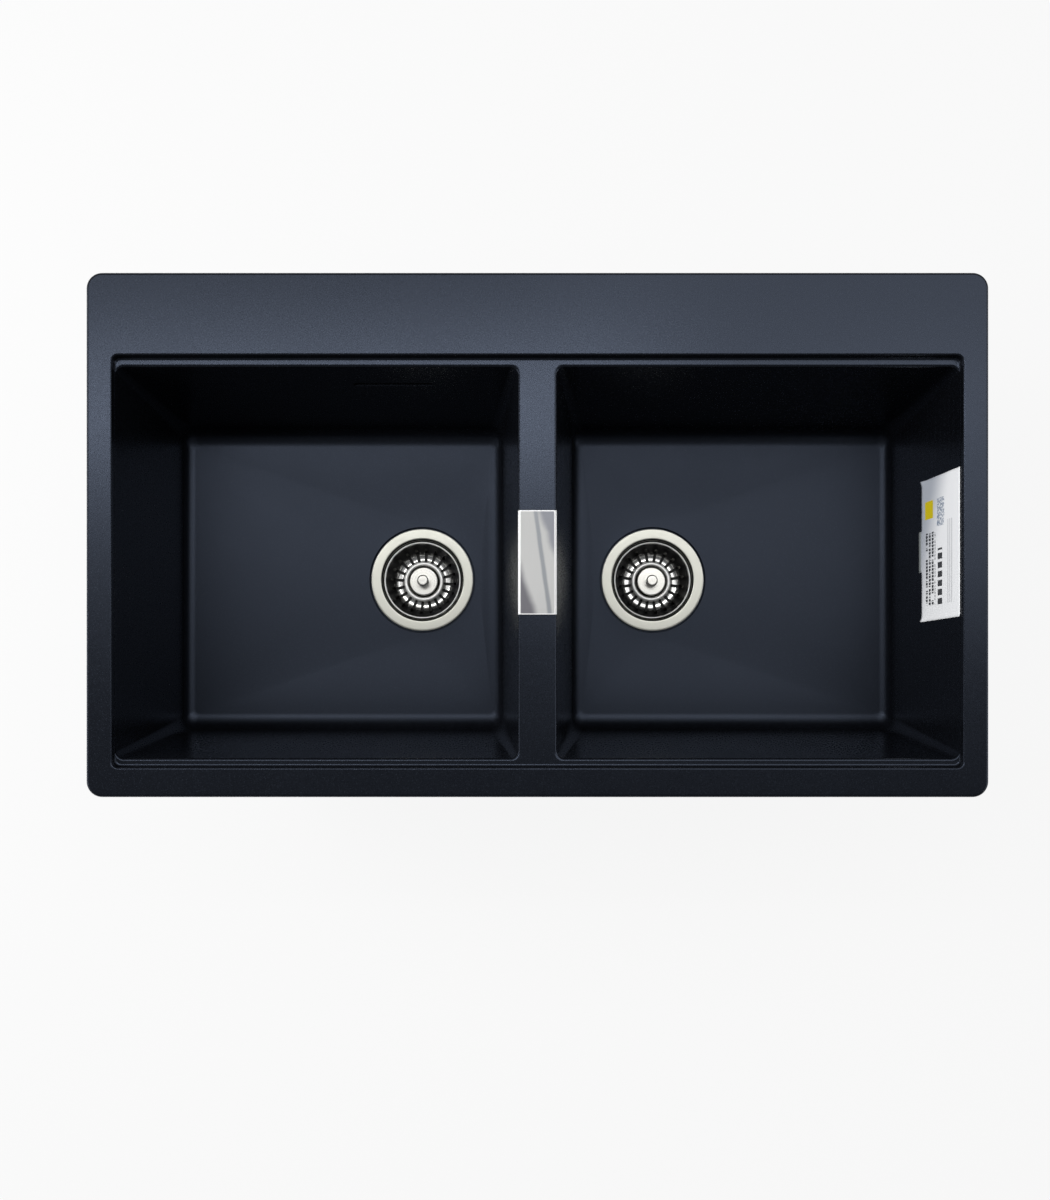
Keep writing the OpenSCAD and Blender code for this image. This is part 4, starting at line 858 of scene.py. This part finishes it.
def bowl_walls(c, grow, foot, side_fillet, end_fillet, floor_r, base_r, steps, count):
    """The outlines of a drafted bowl from its floor's edge up to the foot of its walls."""
    rings = []
    for i in range(count + 1):
        a = math.radians(90) - (math.radians(90) - c.side_draft) * i / count
        r = floor_r + (base_r - floor_r) * math.cos(a) / math.cos(c.side_draft)
        z = foot + end_fillet * (1 - math.sin(a))
        rings.append(bowl_level(c, z, foot, side_fillet, end_fillet, grow, r, steps))
    return rings


def bowl_hollow(c, steps=14):
    """The hollow of the right bowl, with a floor that falls to the drain and rounded upper edges."""
    edge, fall, floor = mm(c.bowl_edge), mm(c.floor_fall), -mm(c.bowl_depth)
    fillets = mm(c.side_fillet), mm(c.floor_fillet)
    x0, x1, y0, y1 = bowl_bounds(c)
    walls = bowl_walls(c, 0, floor, *fillets, 5, 14, steps, 16)
    (x, y, low), flat = drain(), mm(c.drain_flat)
    middle = ring(x - flat, x + flat, y - flat, y + flat, flat - 0.05, low, steps)
    rings = []
    for t in (0, 0.08, 0.2, 0.35, 0.5, 0.65, 0.8, 0.92):
        z = floor - fall * (1 - t * t * (3 - 2 * t))
        rings.append([(a[0] + (b[0] - a[0]) * t, a[1] + (b[1] - a[1]) * t, z) for a, b in zip(middle, walls[0])])
    rings += walls
    for t in (0.33, 0.66):
        z = walls[-1][0][2] * (1 - t) - edge * t
        rings.append(bowl_level(c, z, floor, *fillets, 0, 14 - 6 * t, steps))
    for out, z in top_round(edge):
        across, along = z * math.tan(c.side_draft), z * math.tan(c.bowl_draft)
        rings.append(ring(x0 - out - across, x1 + across, y0 - out - along, y1 + out + along, 8, z, steps))
    rings.append(ring(x0 - edge, x1, y0 - edge, y1 + edge, 8, 4, steps))
    return loft(rings)


def bowl_shell(c, steps=10):
    """The outside of the right bowl."""
    t = mm(c.wall_t)
    x0, x1, y0, y1 = bowl_bounds(c)
    walls = bowl_walls(c, t, drain()[2] - 10, 22, 22, 11, 14 + t, steps, 8)
    return loft(walls + [ring(x0 - t, x1 + t, y0 - t, y1 + t, 8 + t, -1, steps)])


def rim_slab(c):
    x, y, h, r = mm(c.rim_w) / 2, mm(c.rim_d) / 2, mm(c.rim_h), mm(c.rim_corner)
    levels = foot_round(1, 3) + [(inset, h + z) for inset, z in top_round(mm(c.rim_edge))]
    return loft([ring(-x + i, x - i, -y + i, y - i, r - i, z, 16) for i, z in levels])


def recess_hollow(c):
    """The step inside the rim, with a fillet round its floor and a round top edge."""
    x, y0, y1 = mm(c.rim_w) / 2 - mm(c.side_rim), mm(c.front_rim) - mm(c.rim_d) / 2, mm(c.rim_d) / 2 - mm(c.tap_ledge)
    h, edge = mm(c.rim_h), mm(c.recess_edge)
    levels = [(-inset, z) for inset, z in foot_round(mm(c.recess_fillet))]
    levels += [(out, h + z) for out, z in top_round(edge)] + [(edge, h + 1)]
    return loft([ring(-x - out, x + out, y0 - out, y1 + out, 6 + out, z, 14) for out, z in levels])


class SINK_OT_casting(bpy.types.Operator):
    """Cast the sink body with its rim, recess, bowls, skirt and ribs"""
    bl_idname = "sink.casting"
    bl_label = "Casting"

    def execute(self, context):
        c, f = settings("casting"), settings("fittings")
        rim_x, rim_y, lap, foot = mm(c.rim_w) / 2, mm(c.rim_d) / 2, mm(c.rim_lap), -mm(c.skirt_h)
        (x, y), (_, wall, front, back) = skirt_size(c), bowl_bounds(c)
        inner = slab(wall + 2, front - 2, y - 13, 8, foot - 1, 2, 0.01)
        skirt = shape_of(carved(slab(x, -y, y, 14, foot, 1), cuts=[inner]))
        tray = slab(x - 1, 1 - y, rim_y - mm(c.tap_ledge) + 8, 13, -10, 1)
        shell, hollow = bowl_shell(c), bowl_hollow(c)
        slot_x, pad_y, slot_z = overflow_spot()
        pad = block(slot_x - 62, slot_x + 62, pad_y - 15.9, pad_y, slot_z - 16, slot_z + 16, 2)
        pitch, tap_y, tap_r = mm(c.tap_pitch), rim_y - mm(c.tap_inset), mm(c.tap_r)
        ribs = [block((i - 2.5) * pitch - 4, (i - 2.5) * pitch + 4, back + 1, y - 1, -20, 1, 1.2) for i in range(6)]
        bosses = [moved(cylinder(tap_r + 7, -4, 1), i * pitch, tap_y, 0) for i in range(3)]
        adds = [tray, skirt, shell, mirrored(shell), pad, *ribs, *bosses]
        cuts = [recess_hollow(c), hollow, mirrored(hollow)]
        seat = lathe([(0, -3), (57.2, -3), (57.5, -2.7), (57.5, -0.6), (58.1, 0), (58.1, 3), (0, 3)])
        for side in SIDES.values():
            cuts += [at_drain(seat, side), at_drain(cylinder(45.5, -12, 5, 72), side)]
        slot = turned(capsule(mm(f.overflow_w), mm(f.overflow_h), -180, -130), 90, "X")
        cuts.append(moved(slot, slot_x, 0, slot_z))
        screw_hole = turned(cylinder(2.05, -pad_y - 1.6, -pad_y + 9.4, 24), 90, "X")
        low = [moved(screw_hole, slot_x + side * mm(f.ear_screw), 0, slot_z) for side in (-1, 1)]
        low += [moved(cylinder(tap_r, -5, 4), i * pitch, tap_y, 0) for i in range(3)]
        low += [placed(cylinder(4.25, -10.3, 1, 24), spot) for _, _, _, spot in clip_places()]
        seal_x, seal_y = rim_x - lap + 0.5, rim_y - lap + 0.5
        outside = slab(seal_x + 6, -seal_y - 6, seal_y + 6, 11.5, -1, 1.5, 0.01)
        low.append(shape_of(carved(outside, cuts=[slab(seal_x, -seal_y, seal_y, 5.5, -3, 3, 0.01)])))
        made = carved(rim_slab(c), [(one, 1) for one in adds], cuts + [(one, 1) for one in low],
                      [FINISHES["granite"], FINISHES["granite_back"]])
        for face in made.polygons:
            out = max(abs(face.center.x) - 0.4, abs(face.center.y) - 0.2)
            if face.center.z < 0.0005 and face.normal.z < -0.5 and out > 0:
                face.material_index = 1
        piece("stone_casting", made, "casting", "granite", ["sink_body"], sharp=25, more=["granite_back"])
        return {"FINISHED"}


# Strainers and baskets

def flange_outline(s):
    """The flange with its turned-down edge, the rounded mouth of the cup, and the cup itself."""
    r, flat, cup, depth = mm(s.flange_r), mm(s.flange_flat_r), mm(s.cup_r), mm(s.cup_depth)
    foot = cup - 1.2
    line = [(r, -0.85), (r - 0.15, -0.35), (r - 0.8, -0.04), (r - 2.2, 0), (flat + 3, 0), (flat + 0.6, 0)]
    line += arc(flat, -3.3, 3.3, 84, 180, 12)
    line += [(cup - 0.02, -6), (foot + 0.1, 4 - depth)] + arc(foot - 3, 3 - depth, 3, 0, -90, 6)
    return line + [(3.4, -depth)]


class SINK_OT_strainers(bpy.types.Operator):
    """Press the steel flanges with their cups, and turn the screws that clamp them"""
    bl_idname = "sink.strainers"
    bl_label = "Strainers"

    def execute(self, context):
        s = settings("strainer")
        depth = mm(s.cup_depth)
        square = rounded([(11, -depth - 2), (27, -depth - 2), (27, -depth + 1), (11, -depth + 1)], 0.01, 1)
        bar = math.degrees(2 * math.asin(4 / 27))
        gaps = [lathe(square, 16, i * 90 + bar / 2, 90 - bar) for i in range(4)]
        cup = carved(lathe(sheet(flange_outline(s), 0.98), 144), cuts=gaps)
        head = rounded([(0, 0), (7.5, 0), (7.5, 6.4), (4.5, 6.4), (4.5, 1), (2.6, 1), (2.6, -2), (0, -2)], 0.35)
        shank = rounded([(0, -15), (3, -15), (3, 0.2), (0, 0.2)], 0.4)
        screw = moved(joined([lathe(head, 64), lathe(shank, 32)]), 0, 0, -depth)
        for name, side in SIDES.items():
            piece(f"{name}_flange_and_cup", moved_mesh(cup.copy(), drain(side)), "casting", "satin_steel",
                  [f"{name}_strainer_flange"], sharp=40)
            piece(f"{name}_hub_screw", at_drain(screw, side), "casting", "screw_steel", [f"{name}_clamp_screw"],
                  sharp=40)
        return {"FINISHED"}


def basket_line(s):
    """The basket's upper face from its rim down the wall, over the raised ring and in to the stem."""
    wall, top, d, r = mm(s.basket_rim_r) - 1.8, -3, mm(s.basket_depth), mm(s.basket_ring_r)
    f = top - d
    return [
        (wall, top - 0.9), (wall - 1, top - 0.24 * d), (wall - 3, top - 0.48 * d), (wall - 5.8, top - 0.72 * d),
        (wall - 8.6, top - 0.9 * d), (30, f + 0.7), (27.5, f), (r + 4.2, f), (r + 3.1, f + 1.2), (r + 2.7, f + 4.4),
        (r + 2.1, f + 7.0), (r + 0.9, f + 7.7), (r - 0.9, f + 7.7), (r - 1.9, f + 6.9), (r - 2.4, f + 4.5),
        (r - 3.4, f + 3.5), (4.3, f + 3.5),
    ]


class SINK_OT_baskets(bpy.types.Operator):
    """Press and slot the baskets, turn their knobs and mould their rubber stoppers"""
    bl_idname = "sink.baskets"
    bl_label = "Baskets"

    def execute(self, context):
        s = settings("strainer")
        floor = -3 - mm(s.basket_depth)
        shell = lathe(sheet(eased(basket_line(s)), 0.75), 160)
        roll = lathe(arc(mm(s.basket_rim_r) - 0.9, -3.9, 0.9, 0, 360, 16)[:-1], 160)
        slot = moved(capsule(14.4, mm(s.slot_w), floor - 1.6, floor + 18.4), 29.2, 0, 0)
        slots = [turned(slot, (i + 0.5) * 360 / s.slot_n) for i in range(s.slot_n)]
        bowl = carved(shell, adds=[roll], cuts=[joined(slots)])
        middle, disc, head = floor + 3.5, mm(s.knob_disc_r), mm(s.knob_head_r)
        neck = middle + 7
        knob = rounded([
            (0, middle + 5.5), (4.05, middle + 5.5), (4.05, middle), (12, middle), (12, middle + 4),
            (disc - 0.8, middle + 4), (disc, middle + 4.8), (disc, neck - 0.7), (disc - 0.7, neck),
            (6.2, neck), (4.6, neck + 0.7), (4.2, neck + 2), (4.2, neck + 6.9), (head - 0.2, neck + 8.0),
            (head, neck + 8.8), (head, neck + 11.4), (head - 0.5, neck + 12.4), (head - 1.4, neck + 13),
            (0, neck + 13)], 0.5, 4)
        lip = mm(s.stopper_r)
        rubber = rounded([
            (4.05, floor + 2.7), (13, floor + 2.7), (13, floor - 1.1), (lip - 4, floor - 1.1), (lip - 2.4, floor - 2.1),
            (lip, floor - 13.7), (lip - 2.4, floor - 13.7), (lip - 5.4, floor - 3.7), (4.05, floor - 3.7)], 0.6)
        for name, side in SIDES.items():
            body = f"{name}_basket_body"
            own = moved_mesh(bowl.copy(), drain(side), s.turned if side < 0 else 0)
            piece(f"{name}_slotted_basket", own, body, "basket_steel", [f"{name}_basket"], sharp=40)
            piece(f"{name}_turned_knob", at_drain(lathe(knob, 96), side), body, "knob_steel",
                  [f"{name}_basket_knob"], sharp=40)
            piece(f"{name}_rubber_stopper", at_drain(lathe(rubber, 96), side), body, "black_rubber",
                  [f"{name}_stopper"], sharp=40)
        return {"FINISHED"}


# Plate and label

class SINK_OT_divider_plate(bpy.types.Operator):
    """Bend the polished plate that saddles the divider"""
    bl_idname = "sink.divider_plate"
    bl_label = "Divider plate"

    def execute(self, context):
        s, c = settings("plate"), settings("casting")
        bend, t, gap, pad = math.degrees(s.plate_bend), mm(s.plate_t), 0.6, 0.8
        inner = mm(c.bowl_edge) + gap
        flat, z0 = mm(c.divider_w) / 2 - inner + gap / 2, pad - inner
        half = arc(flat, z0, inner, 90 - bend, 90, 12)
        outer = arc(flat, z0, inner + t, 90, 90 - bend, 12)
        outline = half + [(-x, z) for x, z in half[::-1]] + [(-x, z) for x, z in outer[::-1]] + outer
        y0 = mm(s.plate_y) - mm(s.plate_l) / 2
        plate = extrude(outline, y0, y0 + mm(s.plate_l))
        broken_edges(piece("saddle_plate", plate, "casting", "polished_steel", ["divider_plate"], flat_first=False))
        return {"FINISHED"}


class SINK_OT_paper_label(bpy.types.Operator):
    """Stick the card label on the right bowl's outer wall, its lower corners curling off"""
    bl_idname = "sink.paper_label"
    bl_label = "Paper label"

    def execute(self, context):
        s, c = settings("plate"), settings("casting")
        w, h, curl = mm(s.label_l), mm(s.label_h), mm(s.label_curl)
        columns, rows = 48, 32
        m = columns + 1

        def stands(u, v):
            """How far the card stands off the wall: u from -1 to 1 along it, v from 0 above to 1 below."""
            corner = max(0, abs(u) - 0.93) / 0.07 * max(0, v - 0.88) / 0.12
            return 0.12 + curl * corner + 0.7 * (max(0, -u - 0.96) / 0.04) ** 2

        front = [(j / columns * 2 - 1, i / rows) for i in range(rows + 1) for j in range(m)]
        points = [(-0.3 - stands(u, v), u * w / 2, 1 - v * h) for u, v in front]
        faces = [(k, k + 1, k + m + 1, k + m) for k in range(rows * m) if k % m < columns]
        tabs = [rows * m + j for j in range(m) if abs((j / columns * 2 - 1) * w / 2) <= mm(s.tab_l) / 2]
        start = len(points)
        points += [(points[k][0] - 0.15, points[k][1], 1 - h - mm(s.tab_h)) for k in tabs]
        faces += [(a, b, start + k + 1, start + k) for k, (a, b) in enumerate(zip(tabs, tabs[1:]))]
        wall = Matrix.Translation((bowl_bounds(c)[1], mm(s.label_y), 0)) @ Matrix.Rotation(c.side_draft, 4, "Y")
        label = piece("card_label", placed((points, faces), wall), "casting", "paper", ["paper_label"],
                      flat_first=False)
        card_body = label.modifiers.new("card thickness", "SOLIDIFY")
        card_body.thickness, card_body.offset = 0.00025, 1
        return {"FINISHED"}


# Wastes, overflow and hose

def thread(r, root, z0, z1, pitch, bore, steps=72):
    """A threaded tube: its outer wall winds up round the bore."""
    rows = int((z1 - z0) / pitch * 6)
    outer = []
    for k in range(rows + 1):
        z = z0 + (z1 - z0) * k / rows
        row = []
        for i in range(steps):
            wave = abs(((z - z0) / pitch - i / steps) % 1 - 0.5) * 2
            near = min(1, (z - z0) / 2, (z1 - z) / 2)
            here = r - (r - root) * min(1, wave * 1.3) * near - (0.6 if k == 0 else 0)
            a = 2 * math.pi * i / steps
            row.append((here * math.cos(a), here * math.sin(a), z))
        outer.append(row)
    return loft(outer + [circle(0, 0, bore, z1, steps), circle(0, 0, bore, z0, steps)], closed=True)


class SINK_OT_waste_bodies(bpy.types.Operator):
    """Mould the bodies under the drains, each with its flange, cone, threaded outlet and hub"""
    bl_idname = "sink.waste_bodies"
    bl_label = "Waste bodies"

    def execute(self, context):
        s = settings("fittings")
        flange, wall, tail, length = mm(s.waste_flange_r), mm(s.waste_r), mm(s.tail_r), mm(s.tail_l)
        bore = tail - 3
        outline = rounded([
            (flange, -12), (flange, -16), (wall, -16), (wall, -50.6), (wall - 0.5, -51), (wall, -51.4), (wall, -54),
            (tail - 0.6, -71), (tail - 0.6, -73), (bore, -73), (bore, -70), (wall - 3, -50), (wall - 3, -12)], 0.7)
        hub = rounded([(5.05, -43), (9.5, -43), (9.5, -60), (5.05, -60)], 0.4)
        adds = [moved(thread(tail, tail - 1.2, -length, 0, mm(s.thread_pitch), bore), 0, 0, -71), lathe(hub, 48)]
        bar = joined([block(x, x + 41, -2.5, 2.5, -51, -44, 0.6) for x in (-49, 8)])
        adds += [turned(bar, 45 + 90 * i) for i in range(2)]
        gusset = loft([[(50.4, y, -15.8), (57.2, y, -15.8), (50.4, y, -30)] for y in (-1, 1)])
        for name, side in SIDES.items():
            left = name == "left"
            parts = adds + [turned(gusset, 30 + 30 * i) for i in range(12) if not (left and i == 2)]
            cuts = []
            if left:
                spigot = lathe([(7.6, 0), (7.6, 27), (7.1, 28.5), (7.1, 30), (0, 30), (0, -2), (7.6, -2)], 48)
                parts.append(moved(turned(spigot, -90, "X"), 0, wall, -27))
                cuts.append(moved(turned(cylinder(6, -4, 31), -90, "X"), 0, wall, -27))
            made = moved_mesh(carved(lathe(outline, 96), adds=parts, cuts=cuts), drain(side))
            piece(f"{name}_moulded_waste", made, "casting", "black_plastic",
                  [f"{name}_waste_body", f"{name}_waste_outlet"])
        return {"FINISHED"}


class SINK_OT_overflow(bpy.types.Operator):
    """Mould the overflow's housing and put in its two screws"""
    bl_idname = "sink.overflow"
    bl_label = "Overflow"

    def execute(self, context):
        f = settings("fittings")
        w, shift, ears = mm(f.overflow_w) / 2 + 6, mm(f.overflow_shift), (-mm(f.ear_screw), mm(f.ear_screw))
        x, y, z = overflow_spot()
        spigot = lathe([(0, -41), (7.0, -41), (7.0, -39.5), (7.6, -38), (7.6, -10), (0, -10)], 48)
        adds = [block(-w - 12, w + 12, 0, 4, -6, 6, 1.2), moved(spigot, shift, 9.5, 0)]
        adds += [block(i - 0.8, i + 0.8, 17, 19.0, -9.5, 9.5, 0.3) for i in (-34, -20, -6, 8, 22, 36)]
        adds += [block(i - 1, i + 1, 3.5, 12, -4, 4, 0.4) for i in (-w - 1, w + 1)]
        cuts = [block(-w + 2, w - 2, -3, 17, -9, 9, 1), moved(cylinder(6, -42, -8), shift, 9.5, 0)]
        cuts += [moved(turned(cylinder(2.05, -1, 6, 24), -90, "X"), ear, 0, 0) for ear in ears]
        made = carved(block(-w, w, 0, 19, -11, 11, 2), adds=adds, cuts=cuts)
        piece("overflow_shell", moved_mesh(made, (x, y + 2, z)), "casting", "black_plastic", ["overflow_housing"])
        head = rounded([(0, -15), (2, -15), (2, 0), (4, 0), (4, 1.2), (3.2, 2.2), (0, 2.4)], 0.25)
        screw = turned(shape_of(carved(lathe(head, 36), cuts=cross(2, 0.5, 0.9, 4))), -90, "X")
        pair = joined([moved(screw, x + ear, y + 6, z) for ear in ears])
        piece("overflow_cross_screws", pair, "casting", "screw_steel", ["overflow_screws"])
        return {"FINISHED"}


def hose_ends():
    """The hose's X, the Y and height of its upper end, and the Y and height of its lower end."""
    x, y, z = drain(-1)
    _, pad, slot = overflow_spot()
    return x, pad + 11.5, slot - 23, y + 63, z - 27


def hose_frame(at, bend):
    """The hose's middle at a length along it, and the angle that it has turned through there."""
    x, y, top, _, low = hose_ends()
    down, turn = top - low - bend, bend * math.pi / 2
    if at <= down:
        return Vector((x, y, top - at)), 0
    if at >= down + turn:
        return Vector((x, y - bend - (at - down - turn), low)), math.pi / 2
    a = (at - down) / bend
    return Vector((x, y - bend * (1 - math.cos(a)), low + bend * (1 - math.sin(a)))), a


class SINK_OT_hose(bpy.types.Operator):
    """Run the ribbed hose from the overflow to the left waste, and clamp both its ends"""
    bl_idname = "sink.hose"
    bl_label = "Overflow hose"

    def execute(self, context):
        s = settings("fittings")
        bend, pitch, rib, root = mm(s.hose_bend), mm(s.hose_pitch), mm(s.hose_rib_r), mm(s.hose_root_r)
        x, y, top, end, low = hose_ends()
        length = top - low - bend + bend * math.pi / 2 + y - bend - end
        count = int((length - 46) / pitch)
        first = (length - count * pitch) / 2
        stops = [(0, rib - 0.7), (0.7, rib - 0.12), (first - pitch, rib - 0.12), (first - pitch * 0.6, rib - 0.6),
                 (first - pitch * 0.3, root)]
        wave = ((0, root), (0.16, root), (0.28, rib - 0.75), (0.36, rib - 0.16), (0.5, rib - 0.02),
                (0.64, rib - 0.16), (0.72, rib - 0.75), (0.84, root))
        stops += [(first + (i + part) * pitch, r) for i in range(count) for part, r in wave]
        stops += [(length - at, r) for at, r in reversed(stops[:5])]
        stops += [(length * (1 - i / 40), 7.95) for i in range(41)]
        rings = []
        for at, r in stops:
            middle, a = hose_frame(at, bend)
            up = Vector((0, math.cos(a), -math.sin(a)))
            rings.append([tuple(middle + Vector((1, 0, 0)) * r * math.cos(t) + up * r * math.sin(t))
                          for t in (2 * math.pi * i / 40 for i in range(40))])
        piece("ribbed_overflow_hose", loft(rings, closed=True), "casting", "grey_plastic", ["overflow_hose"],
              flat_first=False)
        band = rounded([(11.55, 0), (12.5, 0), (12.5, 9), (11.55, 9)], 0.25)
        housing = block(11.8, 16.3, -4.2, 4.2, 0.6, 8.4, 0.8)
        worm = moved(turned(cylinder(2.2, -4.5, 4.5, 24, 0.4), 90, "X"), 14.1, 0, 4.5)
        grooves = [turned(block(12.2, 14, -0.45, 0.45, 1.6, 7.4, 0.1), a) for a in range(40, 331, 10)]
        clamp = joined([shape_of(carved(lathe(band, 72), adds=[housing], cuts=[joined(grooves)])), worm])
        both = joined([moved(clamp, x, y, top - 13.5), moved(turned(clamp, -90, "X"), x, end + 4.5, low)])
        piece("worm_drive_clamps", both, "casting", "zinc_steel", ["hose_clamps"])
        return {"FINISHED"}


# Clips

class SINK_OT_clips(bpy.types.Operator):
    """Bend the toothed brackets under the rim and fit their screws and washers"""
    bl_idname = "sink.clips"
    bl_label = "Fixing clips"

    def execute(self, context):
        w, reach = mm(settings("fittings").clip_w) / 2, skirt_size(settings("casting"))[1]
        teeth = []
        for i in range(4):
            y = 15 - i * 2.4
            teeth += [(y, -41.2), (y - 1.1, -40.05), (y - 2.3, -41.2)]
        side = [(0.3, -11.0), (0.3, -40.2)] + arc(2.8, -40.2, 2.5, 180, 270, 6) + [(15, -42.7)] + teeth
        side += arc(2.8, -40.2, 1.0, 270, 180, 4) + [(1.8, -11.0)]
        bent = loft([[(x, y, z) for y, z in side] for x in (-w, w)])
        cuts = [moved(turned(turned(capsule(19.1, 5.6, -4, 4), 90, "Z"), 90, "X"), 0, 0, -23.25)]
        for sign in (-1, 1):
            x = sign * w
            corner = [(x, -14.5), (x + sign, -14.5), (x + sign, -10), (x - sign * 3.5, -10), (x - sign * 3.5, -11)]
            corner += [(x - sign * (3.5 - 3.5 * math.sin(a)), -14.5 + 3.5 * math.cos(a)) for a in (0.4, 0.8, 1.2)]
            cuts.append(extrude(corner, -2, 4))
        made = carved(bent, cuts=cuts)
        for name, sign, x, _ in clip_places():
            own = moved_mesh(made.copy(), (x, sign * reach, 0), 0 if sign > 0 else math.pi)
            broken_edges(piece(f"{name}_bracket", own, f"{name}_body", "zinc_steel", [name], flat_first=False))
        screw = rounded([(0, -9), (1.2, -9), (2.4, -7.8), (2.4, 3.1), (5, 3.1), (5, 4.3), (4.2, 5.3), (2.4, 5.7),
                         (0, 5.7)], 0.3)
        screw = shape_of(carved(lathe(screw, 40), cuts=cross(2.8, 0.6, 4, 7)))
        washer = lathe(rounded([(2.45, 2.1), (7.5, 2.1), (7.5, 3.1), (2.45, 3.1)], 0.25), 48)
        for name, shape, node in (("clip_cross_screws", screw, "clip_screws"),
                                  ("clip_flat_washers", washer, "clip_washers")):
            row = joined([placed(shape, spot) for _, _, _, spot in clip_places()])
            piece(name, row, "casting", "zinc_steel", [node])
        return {"FINISHED"}


class SINK_OT_small_parts(bpy.types.Operator):
    """Give the seals, dowels, inserts, stems, nuts and rings of the frame their finishes"""
    bl_idname = "sink.small_parts"
    bl_label = "Seals and small parts"

    def execute(self, context):
        slots = {row["node"]: row["material_slot"] for row in frame["record"]["subparts"]}
        for node, item in frame["nodes"].items():
            if not item.hide_render:
                item.data.materials.clear()
                item.data.materials.append(FINISHES[slots[node]])
        return {"FINISHED"}


# Stage

def lamp(name, power, spot, aim, width, height, glossy=True):
    data = bpy.data.lights.new(name, "AREA")
    data.shape = "RECTANGLE"
    data.size, data.size_y = width, height
    data.energy = power
    made = bpy.data.objects.new(name, data)
    made.location = spot
    made.rotation_euler = (Vector(aim) - Vector(spot)).to_track_quat("-Z", "Y").to_euler()
    made.visible_glossy = glossy
    bpy.context.scene.collection.objects.link(made)


class SINK_OT_stage(bpy.types.Operator):
    """Set up the camera, the pale floor and the soft lamps"""
    bl_idname = "sink.stage"
    bl_label = "Stage"

    def execute(self, context):
        s = settings("stage")
        scene = context.scene
        scene.view_settings.view_transform = "Standard"
        camera = bpy.data.cameras.new("camera")
        camera.lens = s.lens * 1000
        camera.sensor_width = 36
        camera.shift_x, camera.shift_y = s.shift_x, s.shift_y
        camera.clip_start, camera.clip_end = 0.05, 50
        holder = bpy.data.objects.new("camera", camera)
        holder.location = (0, s.forward, s.height)
        scene.collection.objects.link(holder)
        scene.camera = holder
        if s.show_floor:
            z = cad_box[0][2] - 0.0005
            mesh = bpy.data.meshes.new("floor")
            mesh.from_pydata([(-4, -4, z), (4, -4, z), (4, 4, z), (-4, 4, z)], [], [(0, 1, 2, 3)])
            floor = bpy.data.objects.new("floor", mesh)
            scene.collection.objects.link(floor)
            paint = Finish("pale floor")
            lit = paint.node("BsdfDiffuse", {}, {"Color": (0.80, 0.80, 0.80, 1)})
            white = paint.node("Emission", {}, {"Color": (0.958, 0.958, 0.958, 1), "Strength": 1.0})
            rays = paint.node("LightPath", out="Is Camera Ray")
            mesh.materials.append(paint.end(paint.node("MixShader", {}, {0: rays * 0.94, 1: lit, 2: white})))
        scene.world = bpy.data.worlds.new("studio")
        studio = Finish(scene.world)
        even = studio.node("Background", {}, {"Color": (0.96, 0.98, 1.0, 1), "Strength": s.sky})
        white = studio.node("Background", {}, {"Color": (0.956, 0.956, 0.956, 1)})
        rays = studio.node("LightPath", out="Is Camera Ray")
        studio.end(studio.node("MixShader", {}, {0: rays, 1: even, 2: white}), "OutputWorld")
        left = s.key_power * s.left_share
        lamp("window lamp left", left, (-0.75, 0.74, 1.50), (-0.75, 0.74, 0), 1.6, 1.34)
        lamp("window lamp right", s.key_power - left, (0.95, 0.72, 1.50), (0.95, 0.72, 0), 1.8, 1.38)
        lamp("right strip lamp", s.strip_power * 0.16, (0.95, 0.43, 1.46), (0.95, 0.43, 0), 1.0, 0.12)
        lamp("strip lamp", s.strip_power, (-0.525, 0.43, 1.46), (-0.525, 0.43, 0), 1.55, 0.12)
        for name, x in (("left edge lamp", -1.3), ("right edge lamp", 1.3)):
            lamp(name, s.edge_power, (x, -0.03, 0.33), (0, -0.03, 0.0), 1.2, 0.55)
        lamp("side lamp", s.side_power, (-1.5, 0.25, 1.05), (0.2, 0, -0.1), 1.0, 1.0, glossy=False)
        return {"FINISHED"}


class SINK_PT_panel(bpy.types.Panel):
    bl_label = "Granite Sink"
    bl_idname = "SINK_PT_panel"
    bl_space_type = "VIEW_3D"
    bl_region_type = "UI"
    bl_category = "Granite Sink"

    def draw(self, context):
        for operator in OPERATORS:
            self.layout.operator(operator.bl_idname)
        for name, group in GROUPS.items():
            box = self.layout.box()
            box.label(text=name.capitalize())
            for key in group.__annotations__:
                box.prop(settings(name), key)


OPERATORS = (SINK_OT_finishes, SINK_OT_casting, SINK_OT_strainers, SINK_OT_baskets, SINK_OT_divider_plate,
             SINK_OT_paper_label, SINK_OT_waste_bodies, SINK_OT_overflow, SINK_OT_hose, SINK_OT_clips,
             SINK_OT_small_parts, SINK_OT_stage)
CLASSES = (*GROUPS.values(), *OPERATORS, SINK_PT_panel)


def register():
    for each in CLASSES:
        bpy.utils.register_class(each)
    for name, group in GROUPS.items():
        setattr(bpy.types.Scene, "sink_" + name, PointerProperty(type=group))


def unregister():
    for name in GROUPS:
        delattr(bpy.types.Scene, "sink_" + name)
    for each in reversed(CLASSES):
        bpy.utils.unregister_class(each)


def main():
    register()
    for operator in OPERATORS:
        family, name = operator.bl_idname.split(".")
        getattr(getattr(bpy.ops, family), name)()


if __name__ == "__main__":
    main()
